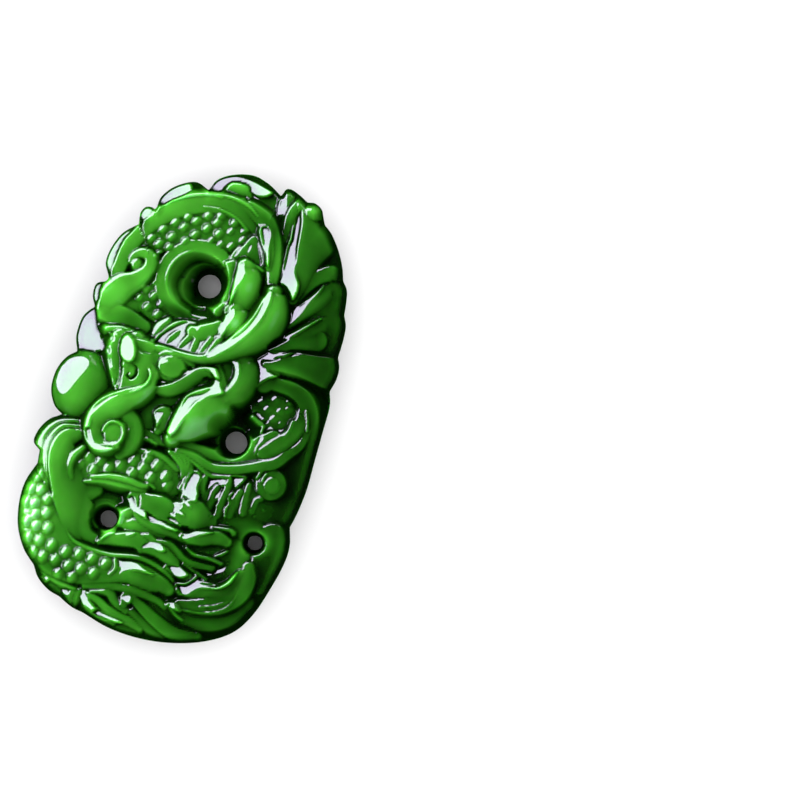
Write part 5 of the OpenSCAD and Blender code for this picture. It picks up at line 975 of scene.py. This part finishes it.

# Painted shade: walls are painted darker than what they stand round, and so are creases, and a flank that
# faces the light is painted darker beside its gleam, while a flank turned from the light is painted paler, as
# if the light came out again there. A crease lies lower than the points next to it.
face_points = points[:len(face_x)].reshape(along + 1, across + 1, 3)
normal = np.cross(np.gradient(face_points, axis=1), np.gradient(face_points, axis=0))
slope = np.hypot(normal[..., 0], normal[..., 1]) / np.maximum(np.abs(normal[..., 2]), TINY)
steep = np.clip(slope - STEEP_FROM, 0, 1).ravel()
a = np.radians(LIGHT_FROM)
facing = ((normal[..., 0] * np.cos(a) + normal[..., 1] * np.sin(a)) / normal[..., 2]).ravel()
creased = np.clip((box_mean(grid_z, 1) - grid_z - CREASE_FROM) / CREASE_OVER, 0, 1).ravel()
# Spots that make the stone paler and darker: partly its own tone, paler and cooler where forms are thin, and
# partly painted light and shade, matched to how the light falls. Rows are x, y, half width, half length,
# turn, amount.
# The amounts are fitted, and no rule gives them. A scratch program read the tone of the photograph and of the
# render at 68 places and worked out the change that each needed, and most amounts follow it.
for x, y, half_width, half_length, turn, amount in (
    (-10, 22.6, 6.5, 1.6, 47, 0.24),
    (-13.2, 16.5, 1.6, 3.5, 0, -0.02),
    (2.5, 25.2, 2.2, 1.4, 0, -0.18),
    (-13.2, 11, 2.2, 2.6, 0, 0.23),
    (-12, 9.6, 1.4, 1, 0, 0.15),
    (-10, 8.5, 1.8, 0.9, 0, -0.14),
    (-10, 13.6, 1.3, 2.4, 20, 0.18),
    (-4.5, 10.9, 3.4, 0.9, 0, -0.4),
    (-5.3, 15, 1.4, 2.4, 0, 0.3),
    (-12.4, -1.5, 3, 3.4, 0, -0.02),
    (-13.2, -3.8, 2.6, 1.5, 0, 0.1),
    (-16.2, -1, 1.3, 4, 0, -0.25),
    (-8.8, -3, 1.6, 2.6, -40, 0.2),
    (-9.6, -7.4, 1, 0.8, 0, -0.16),
    (-6.2, 1, 1.2, 1.6, 0, 0.2),
    (-7.4, 4.2, 1.2, 1.4, 0, -0.08),
    (-9.2, 1.6, 1.2, 2, 0, -0.08),
    (-3, 4.1, 1.4, 1.2, 0, -0.1),
    (-5.6, -5.8, 1, 1.6, 0, -0.18),
    (-12, -12, 1.6, 2, 0, -0.15),
    (-10.5, -16.8, 1.4, 1.6, 0, 0.08),
    (-4.4, -16.6, 0.6, 1.4, 0, -0.15),
    (-5.6, -18.9, 1, 0.6, 0, -0.15),
    (-14.4, -18.6, 2.8, 5, 12, 0.36),
    (-15.8, -14, 1.2, 3, 0, 0.1),
    (-9, -24.2, 3.6, 0.8, 0, -0.15),
    (-9.4, -25.7, 2.2, 0.7, -15, 0.22),
    (-5, -12.9, 2.4, 0.6, 0, 0.04),
    (1.5, -22.4, 2, 0.7, 0, -0.09),
    (6.6, -15.9, 1.6, 0.7, 0, -0.09),
    (8, -26.4, 3, 0.9, -8, -0.12),
    (-10.4, -10.2, 1.2, 0.9, 0, 0.3),
    (-6, -10.2, 3, 1.2, 10, 0.12),
    (-2.5, -16, 2.4, 1.5, 0, 0.2),
    (0, -13.4, 1.4, 0.9, -20, -0.1),
    (4.8, -13, 1.3, 1, 0, 0.18),
    (3.2, -19.2, 1.2, 0.6, -20, 0.14),
    (1.6, -2.8, 2.8, 4.2, -20, 0.35),
    (9, -3, 0.6, 1.6, 0, -0.15),
    (5, 1, 1, 2, -40, 0.14),
    (5.4, 10.2, 1.5, 3.2, -35, 0.2),
    (7.3, 14, 1.3, 2.6, 0, 0.3),
    (2.9, 11.3, 1.3, 1.5, 0, 0.55),
    (3.2, 16.4, 1.4, 2.4, 0, 0.36),
    (0.4, 16, 0.5, 3, 0, -0.25),
    (4.2, 24, 1, 2.4, -20, -0.16),
    (5.5, 20, 0.9, 2.2, 0, 0.26),
    (13, 9, 2, 1.2, 0, 0.04),
    (16, -1.5, 1, 3, 0, 0.06),
    (11, 2.2, 1.6, 2, 0, 0.12),
    (9.6, 20, 1.4, 1.6, 0, 0.04),
    (11.5, 16.3, 1.2, 2.2, -35, 0.12),
    (8, 28, 1.4, 1.2, 0, 0.2),
    (-2, 27.8, 1.3, 0.8, 0, 0.14),
    (11, 7.1, 2.6, 0.7, 0, 0.45),
    (12, 6, 2, 0.6, 0, -0.08),
    (13.6, -0.6, 1.3, 3, -25, 0.14),
    (12.8, -6.4, 1.4, 1.4, 0, 0.08),
    (12.7, -18.8, 1.4, 2.5, 10, 0.31),
    (9, -22, 2.6, 0.9, 25, 0.14),
    (15, 10.5, 2.6, 8, 0, -0.1),
    (16.2, -8, 2.2, 10, 0, -0.2),
    (14.8, -18, 1.6, 3, 0, -0.1),
):
    q = in_oval(face_x - x, face_y - y, half_width, half_length, turn)
    glow += amount * np.exp(-q * q)
# Painted shade on walls, in creases, on flanks that face the light and along the outline, and painted light
# on flanks turned from it
glow = glow + side_shade - STEEP_SHADE * steep - CREASE_SHADE * creased \
    - FACING_SHADE * np.clip(facing, *FACING_RANGE) \
    - EDGE_SHADE * np.clip(1 - from_edge / EDGE_SHADE_WIDTH, 0, 1)
# The rim is painted dark, as shade
glow[rim] = RIM_GLOW

# Creases, walls and a few narrow steps are too tight for the polishing wheel. Rows of steps are x, y, half
# width, half length, turn.
crease = np.maximum(creased, steep)
for x, y, half_width, half_length, turn in (
    (-11.7, 4.6, 0.6, 0.45, 20),
    (-11.1, 3, 0.6, 0.4, 20),
    (-10.35, 0.9, 0.6, 0.9, 20),
    (-9.75, 1.5, 0.4, 2.2, 17),
    (0.3, 16, 0.5, 2.6, 5),
):
    q = in_oval(face_x - x, face_y - y, half_width, half_length, turn)
    crease = np.maximum(crease, np.clip(2 - 2 * q, 0, 1))
for name, values in (("glow", np.clip(glow, 0, 1)), ("crease", crease)):
    # The side and the back below the face have neither
    below = np.zeros(len(points) - len(values))
    stone.data.attributes.new(name, "FLOAT", "POINT").data.foreach_set("value", np.append(values, below))


# Section of a drill from under the back to above the face. Rows are height, added radius.
DRILL = np.array([(-1, 1.3), (0, 0.3), (0.12, 0.12), (0.3, 0), (14, 0)])
SIDES = 96


def drill(x, y, radius, first):
    """Cutter for a hole, with its points numbered from first: at each height of its section a circle of
    the radius and what is added there, so that it flares out a little where it leaves the back."""
    a = np.linspace(0, 2 * np.pi, SIDES, endpoint=False)
    r = (radius + DRILL[:, 1])[:, None]
    p = np.stack([x + r * np.cos(a), y + r * np.sin(a), np.repeat(DRILL[:, :1], SIDES, 1)], -1).reshape(-1, 3)
    p[:, :2] = placed(p)[:, :2]
    p[:, 2] *= MM
    rows = first + np.arange(len(p)).reshape(-1, SIDES)
    after = np.roll(rows, -1, 1)
    walls = np.stack([rows[:-1], after[:-1], after[1:], rows[1:]], -1).reshape(-1, 4)
    return p, walls.tolist() + [rows[0, ::-1].tolist(), rows[-1].tolist()]


drills = [drill(*hole, k * len(DRILL) * SIDES) for k, hole in enumerate(HOLES)]
cutter = new_object("drills", np.vstack([p for p, _ in drills]), sum((faces for _, faces in drills), []))
cut = stone.modifiers.new("drilled", "BOOLEAN")
cut.operation = "DIFFERENCE"
cut.solver = "EXACT"
cut.object = cutter
graph = bpy.context.evaluated_depsgraph_get()
drilled = bpy.data.meshes.new_from_object(stone.evaluated_get(graph))
stone.modifiers.clear()
stone.data = drilled
bpy.data.objects.remove(cutter)
drilled.polygons.foreach_set("use_smooth", np.ones(len(drilled.polygons), bool))


class Socket:
    """A shader value that can be used in Python arithmetic: each operator adds a Math node."""
    tree = None

    def __init__(self, value):
        self.value = value

    @classmethod
    def node(cls, kind, inputs, output=0, **settings):
        """Adds a node, sets its settings and then its inputs, which are values or other sockets."""
        n = cls.tree.nodes.new(kind)
        for name, value in settings.items():
            if name == "stops":
                while len(n.color_ramp.elements) < len(value):
                    n.color_ramp.elements.new(0.5)
                for element, (place, colour) in zip(n.color_ramp.elements, value):
                    element.position = place
                    element.color = colour
            else:
                setattr(n, name, value)
        for key, value in inputs.items():
            if isinstance(value, Socket):
                cls.tree.links.new(value.value, n.inputs[key])
            else:
                n.inputs[key].default_value = value
        return cls(n.outputs[output])

    @classmethod
    def maths(cls, operation, a, b):
        return cls.node("ShaderNodeMath", {0: a, 1: b}, operation=operation)

    def __add__(self, other):
        return self.maths("ADD", self, other)

    def __sub__(self, other):
        return self.maths("SUBTRACT", self, other)

    def __rsub__(self, other):
        return self.maths("SUBTRACT", other, self)

    def __mul__(self, other):
        return self.maths("MULTIPLY", self, other)

    __radd__ = __add__
    __rmul__ = __mul__


# From the hollows and dark walls of the stone to its thinnest, palest ridges. These stops and the tint of
# the large soft box were tuned in rounds with the help of the same comparison of tones.
# The dark end of these colours is painted shade in the hollows and on the walls, and the pale end painted
# light on the ridges, over the stone's own greens
STONE_AND_PAINTED_LIGHT_COLOURS = [
    (0, (0.0006, 0.0051, 0.0002, 1)), (0.15, (0.0022, 0.021, 0.0005, 1)), (0.32, (0.0064, 0.056, 0.0019, 1)),
    (0.5, (0.0138, 0.1035, 0.0046, 1)), (0.7, (0.0258, 0.162, 0.0084, 1)), (0.88, (0.04, 0.24, 0.0145, 1)),
    (1, (0.085, 0.3, 0.07, 1)),
]
CLOUDINESS = 0.3             # how far the pale clouds inside the stone move the glow, from lowest to highest
THROUGH = {"Subsurface Weight": 0.6, "Subsurface Radius": (0.3, 1, 0.2), "Subsurface Scale": 0.0018}
POLISHED = {"Roughness": 0.06, "IOR": 1.56, **THROUGH}
MATT = {"Roughness": 0.6, "Specular IOR Level": 0, **THROUGH}

# Polished stone with soft clouds in it, its colour painted paler and darker with light and shade, and the
# same stone matt where the polish doesn't reach
material = bpy.data.materials.new("green_stone")
material.use_nodes = True
Socket.tree = material.node_tree
shader = material.node_tree.nodes["Principled BSDF"]
where = Socket.node("ShaderNodeTexCoord", {}, output="Object")
clouds = Socket.node("ShaderNodeTexNoise", {"Vector": where, "Scale": 160, "Detail": 4, "Roughness": 0.6},
                     output="Fac")
# The attribute carries the stone's own tone together with painted light and shade
painted_light_and_tone = Socket.node("ShaderNodeAttribute", {}, output="Fac", attribute_name="glow")
colour = Socket.node("ShaderNodeValToRGB", {"Fac": painted_light_and_tone + clouds * CLOUDINESS - CLOUDINESS / 2},
                     output="Color", stops=STONE_AND_PAINTED_LIGHT_COLOURS)
material.node_tree.links.new(colour.value, shader.inputs["Base Color"])
for name, value in POLISHED.items():
    shader.inputs[name].default_value = value
matt = Socket.node("ShaderNodeBsdfPrincipled", {"Base Color": colour, **MATT})
unpolished = Socket.node("ShaderNodeAttribute", {}, output="Fac", attribute_name="crease")
finish = Socket.node("ShaderNodeMixShader", {0: unpolished, 1: Socket(shader.outputs[0]), 2: matt})
material.node_tree.links.new(finish.value, material.node_tree.nodes["Material Output"].inputs["Surface"])
stone.data.materials.clear()
stone.data.materials.append(material)
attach(stone, "root")
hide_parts("carved_stone")

# Floor
# A plain table of smooth white board, large enough to fill the view. It does not mirror in the polished
# stone.
floor = new_object("floor", np.array([(-2, -2, 0), (2, -2, 0), (2, 2, 0), (-2, 2, 0)], float), [(0, 1, 2, 3)])
white = bpy.data.materials.new("white_table")
white.use_nodes = True
board = white.node_tree.nodes["Principled BSDF"].inputs
board["Base Color"].default_value = (0.9, 0.9, 0.9, 1)
board["Roughness"].default_value = 0.9
floor.data.materials.append(white)
floor.visible_glossy = False

# Light
# A very large soft box leans over the pendant from its left, as in a light tent. A faint strip beyond its
# head leaves a second gleam, and a fill from the right leaves none. These light the stone alone, and an even
# ceiling lights the table, so that the table stays white.


def soft_box(name, azimuth, elevation, distance, width, height, power, colour, only):
    """An oval of light that faces the pendant from an azimuth and an elevation, in degrees, and lights one
    piece only. Distance, width and height are in metres, and the power is in watts."""
    a, e = np.radians(azimuth), np.radians(elevation)
    lamp = bpy.data.lights.new(name, "AREA")
    lamp.shape = "ELLIPSE"
    lamp.size = width
    lamp.size_y = height
    lamp.energy = power
    lamp.color = colour
    obj = bpy.data.objects.new(name, lamp)
    obj.location = (distance * np.cos(e) * np.cos(a), distance * np.cos(e) * np.sin(a), distance * np.sin(e))
    obj.rotation_euler = (np.pi / 2 - e, 0, a + np.pi / 2)
    obj.visible_camera = False
    bpy.context.scene.collection.objects.link(obj)
    lit = bpy.data.collections.new(name + "_lights")
    lit.objects.link(only)
    obj.light_linking.receiver_collection = lit
    return obj


WHITE = (1, 1, 1)
soft_box("big_box", LIGHT_FROM, 30, 0.45, 1.5, 0.52, 28, (0.93, 0.84, 1.12), stone)
soft_box("head_strip", 75, 8, 0.8, 0.5, 0.2, 0.5, WHITE, stone)
soft_box("fill", -30, 55, 0.6, 0.9, 0.9, 4, WHITE, stone).visible_glossy = False
soft_box("ceiling", 0, 90, 1.2, 8, 8, 260, WHITE, floor)
world = bpy.data.worlds.new("studio")
world.use_nodes = True
sky = world.node_tree.nodes["Background"].inputs
sky["Color"].default_value = (*WHITE, 1)
sky["Strength"].default_value = 0.02
bpy.context.scene.world = world

# Camera
# It looks straight down from a metre above the table, and is turned so that the pendant leans to the right.
# The picture is as wide as its pixels make it at the height of the widest line.
LEAN = 17                    # degrees
PICTURE = 800                # pixels across
PIXELS_PER_MM = 7.94
LOOKS_AT = (25.24, 8.36)     # mm
HEIGHT = 1                   # m
SENSOR = 36                  # mm
camera = bpy.data.cameras.new("camera")
camera.sensor_width = SENSOR
camera.lens = SENSOR * (HEIGHT * 1000 - GIRDLE) / (PICTURE / PIXELS_PER_MM)
camera_object = bpy.data.objects.new("camera", camera)
camera_object.location = (LOOKS_AT[0] * MM, LOOKS_AT[1] * MM, HEIGHT)
camera_object.rotation_euler = (0, 0, np.radians(LEAN))
bpy.context.scene.collection.objects.link(camera_object)
bpy.context.scene.camera = camera_object
bpy.context.scene.view_settings.view_transform = "Standard"
